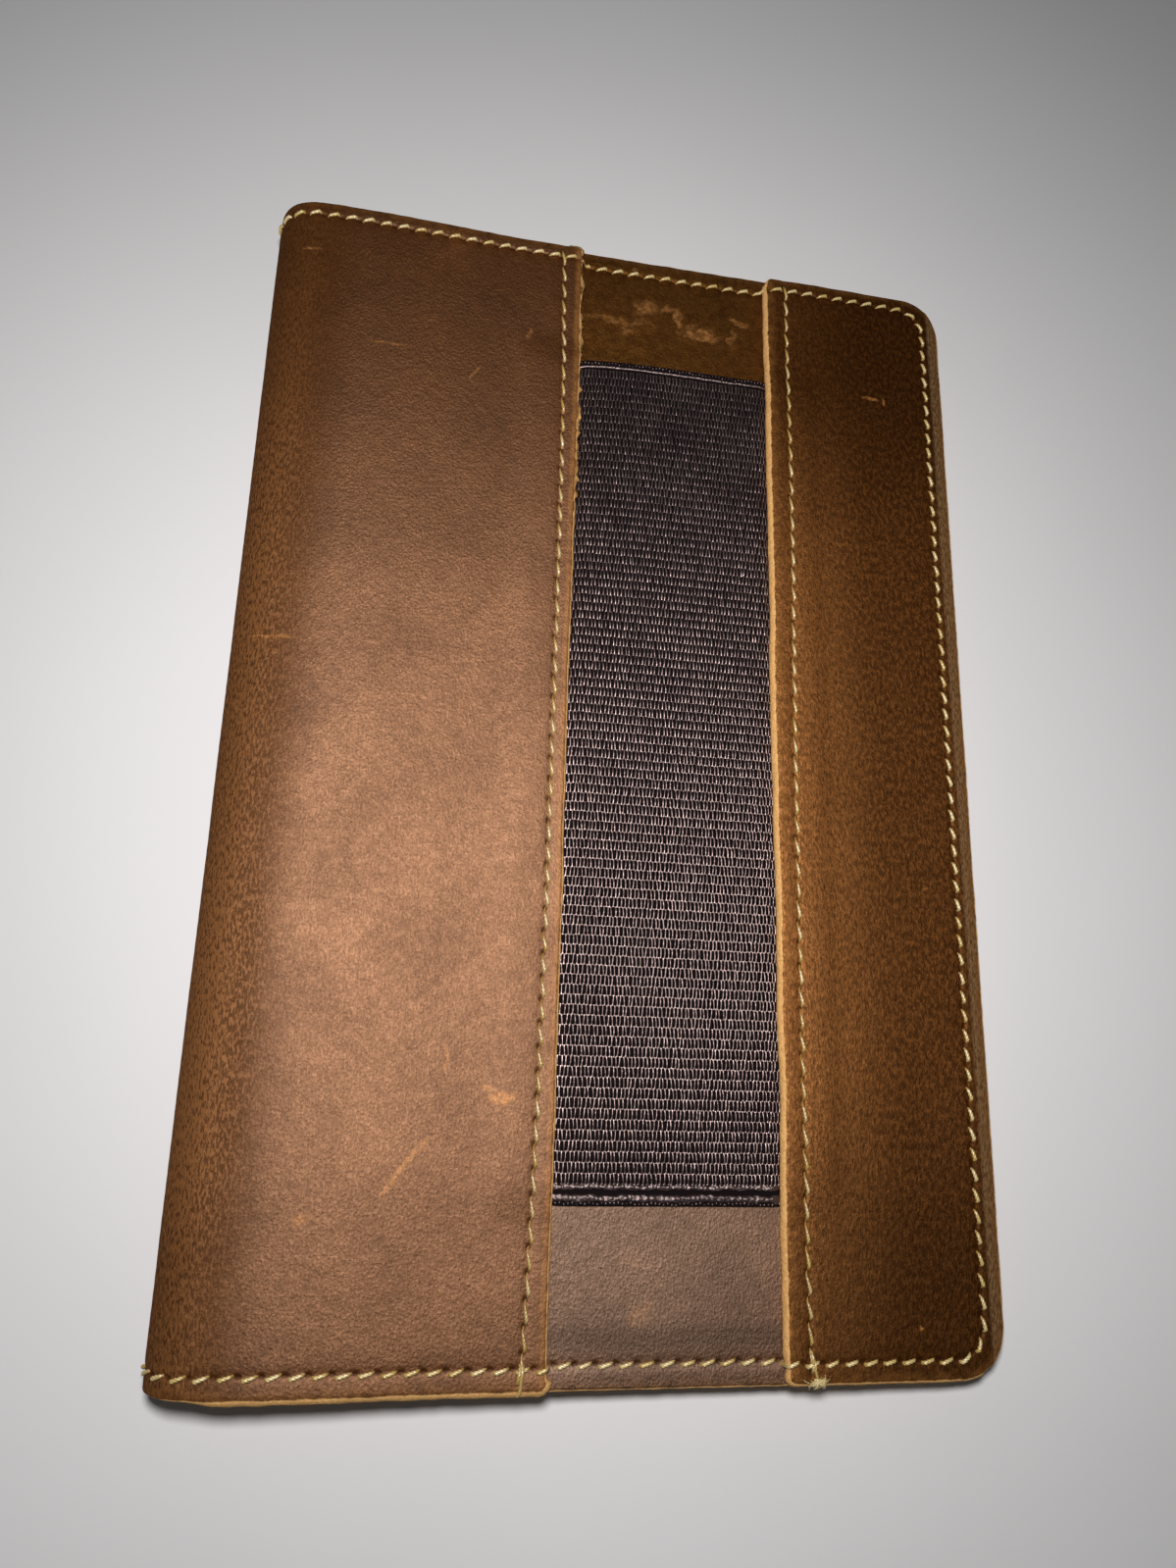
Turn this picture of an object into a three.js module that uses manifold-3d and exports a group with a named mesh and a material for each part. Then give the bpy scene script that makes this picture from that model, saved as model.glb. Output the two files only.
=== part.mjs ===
// A slim bifold cover for a pocket notebook, closed and lying on its back cover.
// Millimetres. The spine fold runs along Y at -X, the open fore-edge is at +X, and +Z is up.
// One sheet of leather makes the back cover, the fold and the front cover's wide left panel.
// A narrow leather panel makes the front cover's fore-edge. Between the two lies a window,
// where a wide elastic band crosses a strip of backing leather.
import * as THREE from 'three';
import { mergeVertices } from 'three/addons/utils/BufferGeometryUtils.js';
import Module from 'manifold-3d';

const wasm = await Module();
wasm.setup();

// Whole cover
const HEIGHT = 152;
const WIDTH = 100;
const CORNER_RADIUS = 6;
const FOLD_RADIUS = 5.6;

// Leather, elastic and thread
const SHELL = 1.4;
const LINING = 0.9;
const BACKING = 1.0;
const ELASTIC = 0.8;
const ELASTIC_SEWN_DOWN = 0.4;
const THREAD_WIDTH = 0.6;
const THREAD_BURIED = 0.2;
const THREAD_PROUD = 0.2;
const CREASE_WIDTH = 1.2;
const CREASE_DEPTH = 0.5;

// Clearance between pieces that touch
const GAP = 0.3;

// Places across the cover, along X
const RIGHT = WIDTH / 2;
const FOLD_CENTRE_X = FOLD_RADIUS - WIDTH / 2;
const PANEL_EDGE_LEFT = -6.4;
const PANEL_EDGE_RIGHT = 22.0;
const SEAM_LEFT = -9.4;
const SEAM_RIGHT = 24.8;
const BACKING_LEFT = -14.0;
const BACKING_RIGHT = 28.3;
const ELASTIC_LEFT = -13.0;
const ELASTIC_RIGHT = 27.5;
const POCKET_MOUTH = -16.0;

// Places along the cover, along Y
const TOP = HEIGHT / 2;
const ELASTIC_TOP = 57.9;
const ELASTIC_BOTTOM = -56.7;
const SEAM_MARGIN = 2.25;

// Heights of the front pocket's inner face: level at the fore-edge, rising towards the spine
const FLOOR_AT_FORE_EDGE = 3.2;
const FLOOR_AT_BACKING_LEFT = 5.2;

// Layers of the front cover, counted up from the front pocket's inner face
const BACKING_FLOOR = LINING + GAP;
const ELASTIC_FLOOR = BACKING_FLOOR + BACKING + GAP;
const PANEL_FLOOR = ELASTIC_FLOOR;
const PANEL_TOP = PANEL_FLOOR + SHELL;
const PANEL_FLOOR_AT_FORE_EDGE = LINING + GAP;

// Layers of the back cover, counted up from the table
const BACK_POCKET_FLOOR = SHELL + GAP;
const BACK_POCKET_TOP = BACK_POCKET_FLOOR + LINING;

const FOLD_TOP = 2 * FOLD_RADIUS;
const PAST_EDGES = 10;
const CURVE_STEPS = 8;
const ARC_STEPS = 16;

// Height of the front pocket's inner face at x
function floorAt(x) {
  const run = BACKING_RIGHT - BACKING_LEFT;
  const share = Math.max(0, (BACKING_RIGHT - x) / run);
  return FLOOR_AT_FORE_EDGE + share * (FLOOR_AT_BACKING_LEFT - FLOOR_AT_FORE_EDGE);
}

// A line across the cover that keeps one height above the front pocket's inner face
function lineAboveFloor(xStart, xEnd, height) {
  const stops = [xStart, BACKING_RIGHT, xEnd].filter((x) => x >= xStart && x <= xEnd);
  const points = [...new Set(stops)].map((x) => new THREE.Vector2(x, floorAt(x) + height));
  return points;
}

function solid(geometry) {
  const bare = geometry.clone();
  bare.deleteAttribute('normal');
  bare.deleteAttribute('uv');
  const merged = mergeVertices(bare, 1e-4);
  const numProp = 3;
  const vertProperties = new Float32Array(merged.attributes.position.array);
  const triVerts = new Uint32Array(merged.index.array);
  return new wasm.Manifold(new wasm.Mesh({ numProp, vertProperties, triVerts }));
}

function geometryOf(manifold) {
  const mesh = manifold.getMesh();
  const geometry = new THREE.BufferGeometry();
  geometry.setAttribute('position', new THREE.BufferAttribute(mesh.vertProperties, mesh.numProp));
  geometry.setIndex(new THREE.BufferAttribute(mesh.triVerts, 1));
  geometry.computeVertexNormals();
  return geometry;
}

function joined(pieces) {
  return pieces.reduce((whole, piece) => whole.add(piece));
}

// A profile drawn in X and Z, run along Y past both ends of the cover
function layer(points) {
  const depth = HEIGHT + 2 * PAST_EDGES;
  const geometry = new THREE.ExtrudeGeometry(new THREE.Shape(points), { depth, bevelEnabled: false });
  geometry.rotateX(Math.PI / 2);
  geometry.translate(0, depth / 2, 0);
  return solid(geometry);
}

// A sheet whose lower face follows a line, from `below` under it to `above` over it
function sheetAlong(line, below, above) {
  const lower = line.map((p) => new THREE.Vector2(p.x, p.y - below));
  const upper = line.map((p) => new THREE.Vector2(p.x, p.y + above)).reverse();
  return layer([...lower, ...upper]);
}

function box(xLow, xHigh, yLow, yHigh, zLow, zHigh) {
  const geometry = new THREE.BoxGeometry(xHigh - xLow, yHigh - yLow, zHigh - zLow);
  geometry.translate((xLow + xHigh) / 2, (yLow + yHigh) / 2, (zLow + zHigh) / 2);
  return solid(geometry);
}

// The cover's outline seen from above, moved inwards, square at xLeft and round at the fore-edge
function outline(xLeft, inset) {
  const radius = CORNER_RADIUS - inset;
  const right = RIGHT - inset;
  const top = TOP - inset;
  const shape = new THREE.Shape();
  shape.moveTo(xLeft, -top);
  shape.lineTo(right - radius, -top);
  shape.absarc(right - radius, -top + radius, radius, -Math.PI / 2, 0);
  shape.absarc(right - radius, top - radius, radius, 0, Math.PI / 2);
  shape.lineTo(xLeft, top);
  const depth = FOLD_TOP + 2 * PAST_EDGES;
  const geometry = new THREE.ExtrudeGeometry(shape, { depth, bevelEnabled: false, curveSegments: CURVE_STEPS });
  geometry.translate(0, 0, -PAST_EDGES);
  return solid(geometry);
}

// The line of the edge seam seen from above, as a band of the given width open at xLeft
function seamBand(xLeft, width) {
  const outer = outline(xLeft, SEAM_MARGIN - width / 2);
  const inner = outline(xLeft - PAST_EDGES, SEAM_MARGIN + width / 2);
  return outer.subtract(inner);
}

function straightBand(x, width, top) {
  return box(x - width / 2, x + width / 2, -top, top, -PAST_EDGES, FOLD_TOP + PAST_EDGES);
}

// The crease that a seam lies in, and the thread in it, on the face whose line is given.
// `out` is 1 where the face looks up and -1 where it looks down.
function crease(line, band, out) {
  const shell = out > 0 ? sheetAlong(line, CREASE_DEPTH, PAST_EDGES) : sheetAlong(line, PAST_EDGES, CREASE_DEPTH);
  return shell.intersect(band);
}

function thread(line, band, out, proud = THREAD_PROUD) {
  const [below, above] = out > 0 ? [THREAD_BURIED, proud] : [proud, THREAD_BURIED];
  return sheetAlong(line, below, above).intersect(band);
}

// Top faces of the front cover's three parts, as lines across the cover
const panelLeftStart = FOLD_CENTRE_X + GAP / 2;
const leftPanelCurve = new THREE.CubicBezierCurve(
  new THREE.Vector2(panelLeftStart, FOLD_TOP),
  new THREE.Vector2(panelLeftStart * 0.66 + BACKING_LEFT * 0.34, FOLD_TOP),
  new THREE.Vector2(panelLeftStart * 0.33 + BACKING_LEFT * 0.67, floorAt(BACKING_LEFT) + PANEL_TOP + 0.6),
  new THREE.Vector2(BACKING_LEFT, floorAt(BACKING_LEFT) + PANEL_TOP),
);
const leftPanelLine = [
  ...leftPanelCurve.getPoints(CURVE_STEPS),
  new THREE.Vector2(PANEL_EDGE_LEFT, floorAt(PANEL_EDGE_LEFT) + PANEL_TOP),
];
const rightPanelLine = [
  new THREE.Vector2(PANEL_EDGE_RIGHT, floorAt(PANEL_EDGE_RIGHT) + PANEL_TOP),
  new THREE.Vector2(BACKING_RIGHT, floorAt(BACKING_RIGHT) + PANEL_TOP),
  new THREE.Vector2(RIGHT, floorAt(RIGHT) + PANEL_FLOOR_AT_FORE_EDGE + SHELL),
];
const backingLine = lineAboveFloor(BACKING_LEFT, BACKING_RIGHT, BACKING_FLOOR + BACKING);
const backingUnderside = lineAboveFloor(BACKING_LEFT, BACKING_RIGHT, BACKING_FLOOR);
const pocketLine = lineAboveFloor(POCKET_MOUTH, RIGHT, 0);

const seamTop = TOP - SEAM_MARGIN;
const windowSeamTop = seamTop - THREAD_WIDTH / 2 - GAP;
const seamStart = panelLeftStart + GAP / 2;
const edgeCrease = seamBand(panelLeftStart - GAP, CREASE_WIDTH);
const edgeThreadBand = seamBand(seamStart, THREAD_WIDTH);

// Room under a front panel for the sewn-down end of the elastic
function elasticRecess(xLow, xHigh) {
  const line = lineAboveFloor(xLow, xHigh, PANEL_FLOOR);
  const room = ELASTIC_SEWN_DOWN + GAP;
  const across = box(xLow, xHigh, ELASTIC_BOTTOM - GAP, ELASTIC_TOP + GAP, 0, FOLD_TOP + GAP);
  return sheetAlong(line, GAP, room).intersect(across);
}

function makeFrontMainPanel() {
  return sheetAlong(leftPanelLine, SHELL, 0)
    .intersect(outline(panelLeftStart, 0))
    .subtract(crease(leftPanelLine, edgeCrease, 1))
    .subtract(crease(leftPanelLine, straightBand(SEAM_LEFT, CREASE_WIDTH, TOP + GAP), 1))
    .subtract(elasticRecess(ELASTIC_LEFT - GAP, PANEL_EDGE_LEFT + GAP));
}

function makeForeEdgePanel() {
  return sheetAlong(rightPanelLine, SHELL, 0)
    .intersect(outline(PANEL_EDGE_RIGHT, 0))
    .subtract(crease(rightPanelLine, edgeCrease, 1))
    .subtract(crease(rightPanelLine, straightBand(SEAM_RIGHT, CREASE_WIDTH, TOP + GAP), 1))
    .subtract(elasticRecess(PANEL_EDGE_RIGHT - GAP, ELASTIC_RIGHT + GAP));
}

function makeWindowBacking() {
  const windowOnly = straightBand((PANEL_EDGE_LEFT + PANEL_EDGE_RIGHT) / 2, PANEL_EDGE_RIGHT - PANEL_EDGE_LEFT, TOP);
  return sheetAlong(backingUnderside, 0, BACKING)
    .intersect(outline(BACKING_LEFT, 0))
    .subtract(crease(backingLine, edgeCrease.intersect(windowOnly), 1))
    .subtract(crease(backingUnderside, straightBand(SEAM_LEFT, CREASE_WIDTH, TOP + GAP), -1))
    .subtract(crease(backingUnderside, straightBand(SEAM_RIGHT, CREASE_WIDTH, TOP + GAP), -1));
}

function makeElastic(xLow, xHigh, thickness) {
  const line = lineAboveFloor(xLow, xHigh, ELASTIC_FLOOR);
  return sheetAlong(line, 0, thickness).intersect(box(xLow, xHigh, ELASTIC_BOTTOM, ELASTIC_TOP, 0, FOLD_TOP));
}

function makeFrontPocket() {
  return sheetAlong(pocketLine, 0, LINING)
    .intersect(outline(POCKET_MOUTH, 0))
    .subtract(crease(pocketLine, edgeCrease, -1));
}

function level(z) {
  return [new THREE.Vector2(FOLD_CENTRE_X, z), new THREE.Vector2(RIGHT, z)];
}

function makeBackMainPanel() {
  return sheetAlong(level(0), 0, SHELL)
    .intersect(outline(panelLeftStart, 0))
    .subtract(crease(level(0), edgeCrease, -1));
}

function makeBackPocket() {
  return sheetAlong(level(BACK_POCKET_FLOOR), 0, LINING)
    .intersect(outline(POCKET_MOUTH, 0))
    .subtract(crease(level(BACK_POCKET_TOP), edgeCrease, 1));
}

// Half a ring in X and Z round the fold's centre, open towards the covers
function foldRing(outerRadius, innerRadius, yLow, yHigh) {
  const shape = new THREE.Shape();
  const half = Math.PI / 2;
  shape.absarc(FOLD_CENTRE_X, FOLD_RADIUS, outerRadius, half, 3 * half, false);
  shape.absarc(FOLD_CENTRE_X, FOLD_RADIUS, innerRadius, 3 * half, half, true);
  const depth = yHigh - yLow;
  const geometry = new THREE.ExtrudeGeometry(shape, { depth, bevelEnabled: false, curveSegments: ARC_STEPS });
  geometry.rotateX(half);
  geometry.translate(0, yHigh, 0);
  const opening = box(-WIDTH, FOLD_CENTRE_X - GAP / 2, -HEIGHT, HEIGHT, -PAST_EDGES, FOLD_TOP + PAST_EDGES);
  return solid(geometry).intersect(opening);
}

function makeSpinePanel() {
  const half = CREASE_WIDTH / 2;
  const cut = FOLD_RADIUS - CREASE_DEPTH;
  return foldRing(FOLD_RADIUS, FOLD_RADIUS - SHELL, -TOP, TOP)
    .subtract(foldRing(FOLD_RADIUS + GAP, cut, seamTop - half, seamTop + half))
    .subtract(foldRing(FOLD_RADIUS + GAP, cut, -seamTop - half, -seamTop + half));
}

function makeSpineThread(y) {
  return foldRing(FOLD_RADIUS, FOLD_RADIUS - THREAD_BURIED, y - THREAD_WIDTH / 2, y + THREAD_WIDTH / 2);
}

// The thread steps down from a panel's cut edge to the backing leather in the window
function riser(xEdge, side) {
  const near = xEdge + side * GAP;
  const far = near + side * THREAD_WIDTH;
  const zLow = floorAt(near) + BACKING_FLOOR + BACKING - THREAD_BURIED;
  const zHigh = floorAt(near) + PANEL_TOP + THREAD_PROUD;
  const [xLow, xHigh] = side > 0 ? [near, far] : [far, near];
  const half = THREAD_WIDTH / 2;
  const upper = box(xLow, xHigh, seamTop - half, seamTop + half, zLow, zHigh);
  const lower = box(xLow, xHigh, -seamTop - half, -seamTop + half, zLow, zHigh);
  return [upper, lower];
}

function seamBetween(xLow, xHigh, line) {
  const across = box(xLow, xHigh, -TOP, TOP, 0, FOLD_TOP + PAST_EDGES);
  return thread(line, edgeThreadBand, 1).intersect(across);
}

function makeFrontNeedleThread() {
  const reach = GAP + THREAD_WIDTH;
  const overLeft = [...leftPanelLine];
  const overRight = [...rightPanelLine];
  const leftEnd = PANEL_EDGE_LEFT + reach;
  const rightEnd = PANEL_EDGE_RIGHT - reach;
  overLeft.push(new THREE.Vector2(leftEnd, floorAt(leftEnd) + PANEL_TOP));
  overRight.unshift(new THREE.Vector2(rightEnd, floorAt(rightEnd) + PANEL_TOP));
  return joined([
    seamBetween(seamStart, leftEnd, overLeft),
    seamBetween(PANEL_EDGE_LEFT + GAP, PANEL_EDGE_RIGHT - GAP, backingLine),
    seamBetween(rightEnd, RIGHT, overRight),
    ...riser(PANEL_EDGE_LEFT, 1),
    ...riser(PANEL_EDGE_RIGHT, -1),
  ]);
}

function makeWindowThread(x, line, out) {
  return thread(line, straightBand(x, THREAD_WIDTH, windowSeamTop), out, out > 0 ? THREAD_PROUD : 0);
}

// Colours and finishes
const outerLeather = { color: 0x6a4020, roughness: 0.55, metalness: 0 };
const innerLeather = { color: 0x5a3a24, roughness: 0.7, metalness: 0 };
const elasticWeave = { color: 0x35262c, roughness: 0.85, metalness: 0 };
const sewingThread = { color: 0xc9b06a, roughness: 0.6, metalness: 0 };

const cover = new THREE.Group();

function addMesh(name, manifold, finish) {
  const mesh = new THREE.Mesh(geometryOf(manifold), new THREE.MeshStandardMaterial(finish));
  mesh.name = name;
  cover.add(mesh);
}

// Back cover
addMesh('back_main_panel', makeBackMainPanel(), outerLeather);
addMesh('back_pocket', makeBackPocket(), innerLeather);
addMesh('back_needle_thread', thread(level(0), edgeThreadBand, -1, 0), sewingThread);
const backPocketSeam = seamBand(POCKET_MOUTH + GAP, THREAD_WIDTH);
addMesh('back_bobbin_thread', thread(level(BACK_POCKET_TOP), backPocketSeam, 1), sewingThread);

// Fold
addMesh('spine_panel', makeSpinePanel(), outerLeather);
addMesh('spine_top_thread', makeSpineThread(seamTop), sewingThread);
addMesh('spine_bottom_thread', makeSpineThread(-seamTop), sewingThread);

// Front cover
addMesh('front_main_panel', makeFrontMainPanel(), outerLeather);
addMesh('fore_edge_panel', makeForeEdgePanel(), outerLeather);
addMesh('window_backing', makeWindowBacking(), innerLeather);
addMesh('front_pocket', makeFrontPocket(), innerLeather);
addMesh('front_needle_thread', makeFrontNeedleThread(), sewingThread);
const frontPocketSeam = seamBand(POCKET_MOUTH + GAP, THREAD_WIDTH);
addMesh('front_bobbin_thread', thread(pocketLine, frontPocketSeam, -1), sewingThread);
addMesh('window_left_needle_thread', makeWindowThread(SEAM_LEFT, leftPanelLine, 1), sewingThread);
addMesh('window_right_needle_thread', makeWindowThread(SEAM_RIGHT, rightPanelLine, 1), sewingThread);
addMesh('window_left_bobbin_thread', makeWindowThread(SEAM_LEFT, backingUnderside, -1), sewingThread);
addMesh('window_right_bobbin_thread', makeWindowThread(SEAM_RIGHT, backingUnderside, -1), sewingThread);

// Elastic band: the free span in the window, and the two ends sewn down under the panels
const spanLeft = PANEL_EDGE_LEFT + GAP;
const spanRight = PANEL_EDGE_RIGHT - GAP;
addMesh('elastic_span', makeElastic(spanLeft, spanRight, ELASTIC), elasticWeave);
addMesh('elastic_left_end', makeElastic(ELASTIC_LEFT, PANEL_EDGE_LEFT, ELASTIC_SEWN_DOWN), elasticWeave);
addMesh('elastic_right_end', makeElastic(PANEL_EDGE_RIGHT, ELASTIC_RIGHT, ELASTIC_SEWN_DOWN), elasticWeave);

export default cover;
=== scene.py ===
"""A slim leather notebook cover, closed and lying on its back cover.

The cover is drawn on one unrolled map. The map's first coordinate, s, runs along the outer skin
from the back cover's fore-edge, round the fold, to the front cover's fore-edge. The second, y,
runs up the spine. Everything else is a depth under that skin, in millimetres like the map.
"""

import math
from dataclasses import dataclass

import bpy
import numpy as np
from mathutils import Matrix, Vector
from mathutils.geometry import delaunay_2d_cdt


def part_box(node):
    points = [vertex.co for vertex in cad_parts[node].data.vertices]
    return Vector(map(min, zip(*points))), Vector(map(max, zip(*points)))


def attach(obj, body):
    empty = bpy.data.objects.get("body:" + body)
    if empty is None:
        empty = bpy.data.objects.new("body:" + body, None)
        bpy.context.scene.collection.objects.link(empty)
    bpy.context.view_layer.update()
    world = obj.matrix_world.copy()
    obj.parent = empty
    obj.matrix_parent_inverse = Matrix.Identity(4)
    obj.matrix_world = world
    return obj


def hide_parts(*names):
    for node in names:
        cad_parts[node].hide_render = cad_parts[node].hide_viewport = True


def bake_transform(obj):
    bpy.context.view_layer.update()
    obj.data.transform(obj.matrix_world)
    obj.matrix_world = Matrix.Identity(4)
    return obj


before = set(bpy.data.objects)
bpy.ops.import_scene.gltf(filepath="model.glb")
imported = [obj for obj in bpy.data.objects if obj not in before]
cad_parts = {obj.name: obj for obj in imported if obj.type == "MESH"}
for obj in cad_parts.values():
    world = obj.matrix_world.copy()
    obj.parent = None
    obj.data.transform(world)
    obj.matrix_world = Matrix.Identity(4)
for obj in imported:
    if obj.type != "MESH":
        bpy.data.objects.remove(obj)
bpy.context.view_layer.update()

MM = 0.001


# ---------------------------------------------------------------- sizes taken from the frame
def cad(node):
    """Lowest and highest corner of a CAD node, in millimetres."""
    low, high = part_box(node)
    return np.array(low) / MM, np.array(high) / MM


def middle_x(node):
    low, high = cad(node)
    return (low[0] + high[0]) / 2


back_low, back_high = cad("back_main_panel")
spine_low, spine_high = cad("spine_panel")
strip_low, strip_high = cad("fore_edge_panel")
backing_low, backing_high = cad("window_backing")
pocket_low, pocket_high = cad("front_pocket")
back_pocket_low, back_pocket_high = cad("back_pocket")
span_low, span_high = cad("elastic_span")

HALF_HEIGHT = back_high[1]
RIGHT = back_high[0]
SHELL = back_high[2] - back_low[2]
LINING = back_pocket_high[2] - back_pocket_low[2]
FOLD_RADIUS = (spine_high[2] - spine_low[2]) / 2
FOLD_X = spine_low[0] + FOLD_RADIUS
EDGE_LEFT = cad("front_main_panel")[1][0]
EDGE_RIGHT = strip_low[0]
SEAM_LEFT = middle_x("window_left_needle_thread")
SEAM_RIGHT = middle_x("window_right_needle_thread")
BACKING_LEFT, BACKING_RIGHT = backing_low[0], backing_high[0]
ELASTIC_LEFT = cad("elastic_left_end")[0][0]
ELASTIC_RIGHT = cad("elastic_right_end")[1][0]
ELASTIC_BOTTOM, ELASTIC_TOP = span_low[1], span_high[1]
POCKET_MOUTH = pocket_low[0]
FLOOR_RIGHT = pocket_low[2]
FLOOR_SLOPE = (pocket_high[2] - LINING - FLOOR_RIGHT) / (BACKING_RIGHT - POCKET_MOUTH)

CORNER_RADIUS = 6.0
CUT_CORNER_RADIUS = 0.9
FORE_EDGE_DROP = 0.15
FORE_EDGE_DROOP = 0.5
BACKING_DEPTH = 1.6
BACKING_THICKNESS = 1.05

SEAM_MARGIN = 2.25
FORE_SEAM_MARGIN = 3.1
SEAM_CREASE = 0.12
EDGE_SINK = 0.1
PANEL_RISE = 0.36
EDGE_PITCH = 2.43
WINDOW_PITCH = 2.78
HOLE_RADIUS = 0.2
HOLE_SHIFT = 0.08
HOLE_STRETCH = 1.8
HOLE_DEPTH = 0.24
NO_HOLE = 9.0
FAR = 99.0

THREAD_RADIUS = 0.195
PLY_LAY = 1.35
TUFT_FIBRES = 70

RIB = 1.22
YARN_PITCH = 0.5


def floor_at(x):
    """Height of the front pocket's inner face."""
    return FLOOR_RIGHT + FLOOR_SLOPE * np.maximum(BACKING_RIGHT - x, 0)


PANEL_TOP = strip_high[2] - floor_at(EDGE_RIGHT)


def smooth(t):
    t = np.clip(t, 0, 1)
    return t * t * (3 - 2 * t)


def hashed(ix, iy, seed):
    """A repeatable value from 0 to 1 for each pair of whole numbers."""
    h = np.sin(ix * 127.1 + iy * 311.7 + seed * 74.7) * 43758.5453
    return h - np.floor(h)


def shaken(size, ix, iy, seed):
    """A repeatable value up to `size` either way for each pair of whole numbers."""
    return size * (2 * hashed(ix, iy, seed) - 1)


def ripple(x, y, size, seed):
    """Smooth noise from -1 to 1 whose bumps are about `size` across."""
    u, v = np.asarray(x, float) / size, np.asarray(y, float) / size
    iu, iv = np.floor(u), np.floor(v)
    fu, fv = smooth(u - iu), smooth(v - iv)
    low = hashed(iu, iv, seed) * (1 - fu) + hashed(iu + 1, iv, seed) * fu
    high = hashed(iu, iv + 1, seed) * (1 - fu) + hashed(iu + 1, iv + 1, seed) * fu
    return 2 * (low * (1 - fv) + high * fv) - 1


# ---------------------------------------------------------------- the outer skin
def bezier(points, steps):
    """Points along a cubic Bezier curve after its first."""
    a, b, c, d = (np.array(p, float) for p in points)
    t = np.linspace(0, 1, steps)[1:, None]
    return a * (1 - t) ** 3 + 3 * b * t * (1 - t) ** 2 + 3 * c * t**2 * (1 - t) + d * t**3


class Skin:
    """The cover's outer face as a line in X and Z, measured along its length."""

    def __init__(self, points, front_start):
        self.points = np.array(points, float)
        steps = np.hypot(*np.diff(self.points, axis=0).T)
        self.lengths = np.concatenate([[0], np.cumsum(steps)])
        self.length = self.lengths[-1]
        self.front_start = front_start
        tangents = np.gradient(self.points, self.lengths, axis=0)
        self.tangents = tangents / np.linalg.norm(tangents, axis=1)[:, None]

    def along(self, s, values):
        return np.interp(s, self.lengths, values)

    def x(self, s):
        return self.along(s, self.points[:, 0])

    def z(self, s):
        return self.along(s, self.points[:, 1])

    def at(self, s, y, depth):
        """Points in space at a depth under the skin."""
        tx = self.along(s, self.tangents[:, 0])
        tz = self.along(s, self.tangents[:, 1])
        past = np.maximum(s - self.length, 0) + np.minimum(s, 0)
        x = self.x(s) + past * tx + tz * depth
        z = self.z(s) + past * tz - tx * depth
        return np.stack(np.broadcast_arrays(x, y, z), axis=-1)

    def front(self, x):
        """Where the front cover's skin passes x."""
        first = self.front_start
        return np.interp(x, self.points[first:, 0], self.lengths[first:])

    def back(self, x):
        """Where the back cover's skin passes x."""
        return RIGHT - x


def outer_skin():
    """Back cover, fold and front cover in one line."""
    back = [(x, 0.0) for x in np.linspace(RIGHT, FOLD_X, 200)]
    turn = np.linspace(-math.pi / 2, -3 * math.pi / 2, 90)[1:]
    fold = [(FOLD_X + FOLD_RADIUS * math.cos(a), FOLD_RADIUS + FOLD_RADIUS * math.sin(a)) for a in turn]
    top = 2 * FOLD_RADIUS
    window = [(x, floor_at(x) + PANEL_TOP) for x in np.linspace(BACKING_LEFT, BACKING_RIGHT, 80)]
    (left, left_z), (right, right_z) = window[0], window[-1]
    third = (left - FOLD_X) / 3
    rise = bezier([(FOLD_X, top), (FOLD_X + third, top), (left - third, left_z + 0.6), window[0]], 80)
    end_z = strip_low[2] + SHELL - FORE_EDGE_DROP
    fore = bezier([window[-1], (right + 5, right_z - 0.3), (RIGHT - 8, end_z + 0.6), (RIGHT, end_z)], 60)
    return Skin(np.vstack([back, fold, rise, window[1:], fore]), len(back) + len(fold) - 1)


skin = outer_skin()
S_FOLD_LOW = skin.back(FOLD_X)
S_FOLD_MID = S_FOLD_LOW + FOLD_RADIUS * math.pi / 2
S_FOLD_HIGH = S_FOLD_LOW + FOLD_RADIUS * math.pi
S_SEAM_LEFT = skin.front(SEAM_LEFT)
S_SEAM_RIGHT = skin.front(SEAM_RIGHT)
S_EDGE_LEFT = skin.front(EDGE_LEFT)
S_EDGE_RIGHT = skin.front(EDGE_RIGHT)
S_ELASTIC_LEFT = skin.front(ELASTIC_LEFT)
S_ELASTIC_RIGHT = skin.front(ELASTIC_RIGHT)
S_WINDOW_MID = (S_EDGE_LEFT + S_EDGE_RIGHT) / 2


# ---------------------------------------------------------------- depths of the layers
def pocket_base(s):
    return skin.z(s) - floor_at(skin.x(s))


def pocket_top(s):
    return pocket_base(s) - LINING


def window_share(s):
    """0 over the panels, 1 in the window, turning within the first stretch past a panel's edge."""
    inside = np.minimum(s - S_EDGE_LEFT, S_EDGE_RIGHT - s)
    return smooth((inside + 0.1) / 0.9)


def needle_depth(s):
    """Depth of the face that the edge seam's outer stitches lie on."""
    return BACKING_DEPTH * window_share(s)


def bobbin_depth(s):
    """Depth of the innermost face, where the edge seam's under stitches lie."""
    on_front_pocket = (s > skin.front(POCKET_MOUTH)) & (s > S_FOLD_HIGH)
    front = np.where(on_front_pocket, pocket_base(s), SHELL)
    return np.where(s < skin.back(POCKET_MOUTH), back_pocket_high[2], front)


def over_elastic(s, y):
    """How much a panel stands up where the elastic's sewn end lies under it."""
    along = smooth((ELASTIC_TOP + 3 - y) / 6) * smooth((y - ELASTIC_BOTTOM + 3) / 6)
    left = smooth((s - S_ELASTIC_LEFT + 2.5) / 3) * (s < S_WINDOW_MID)
    right = smooth((S_ELASTIC_RIGHT + 2.5 - s) / 3) * (s >= S_WINDOW_MID)
    return PANEL_RISE * along * (left + right)


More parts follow.
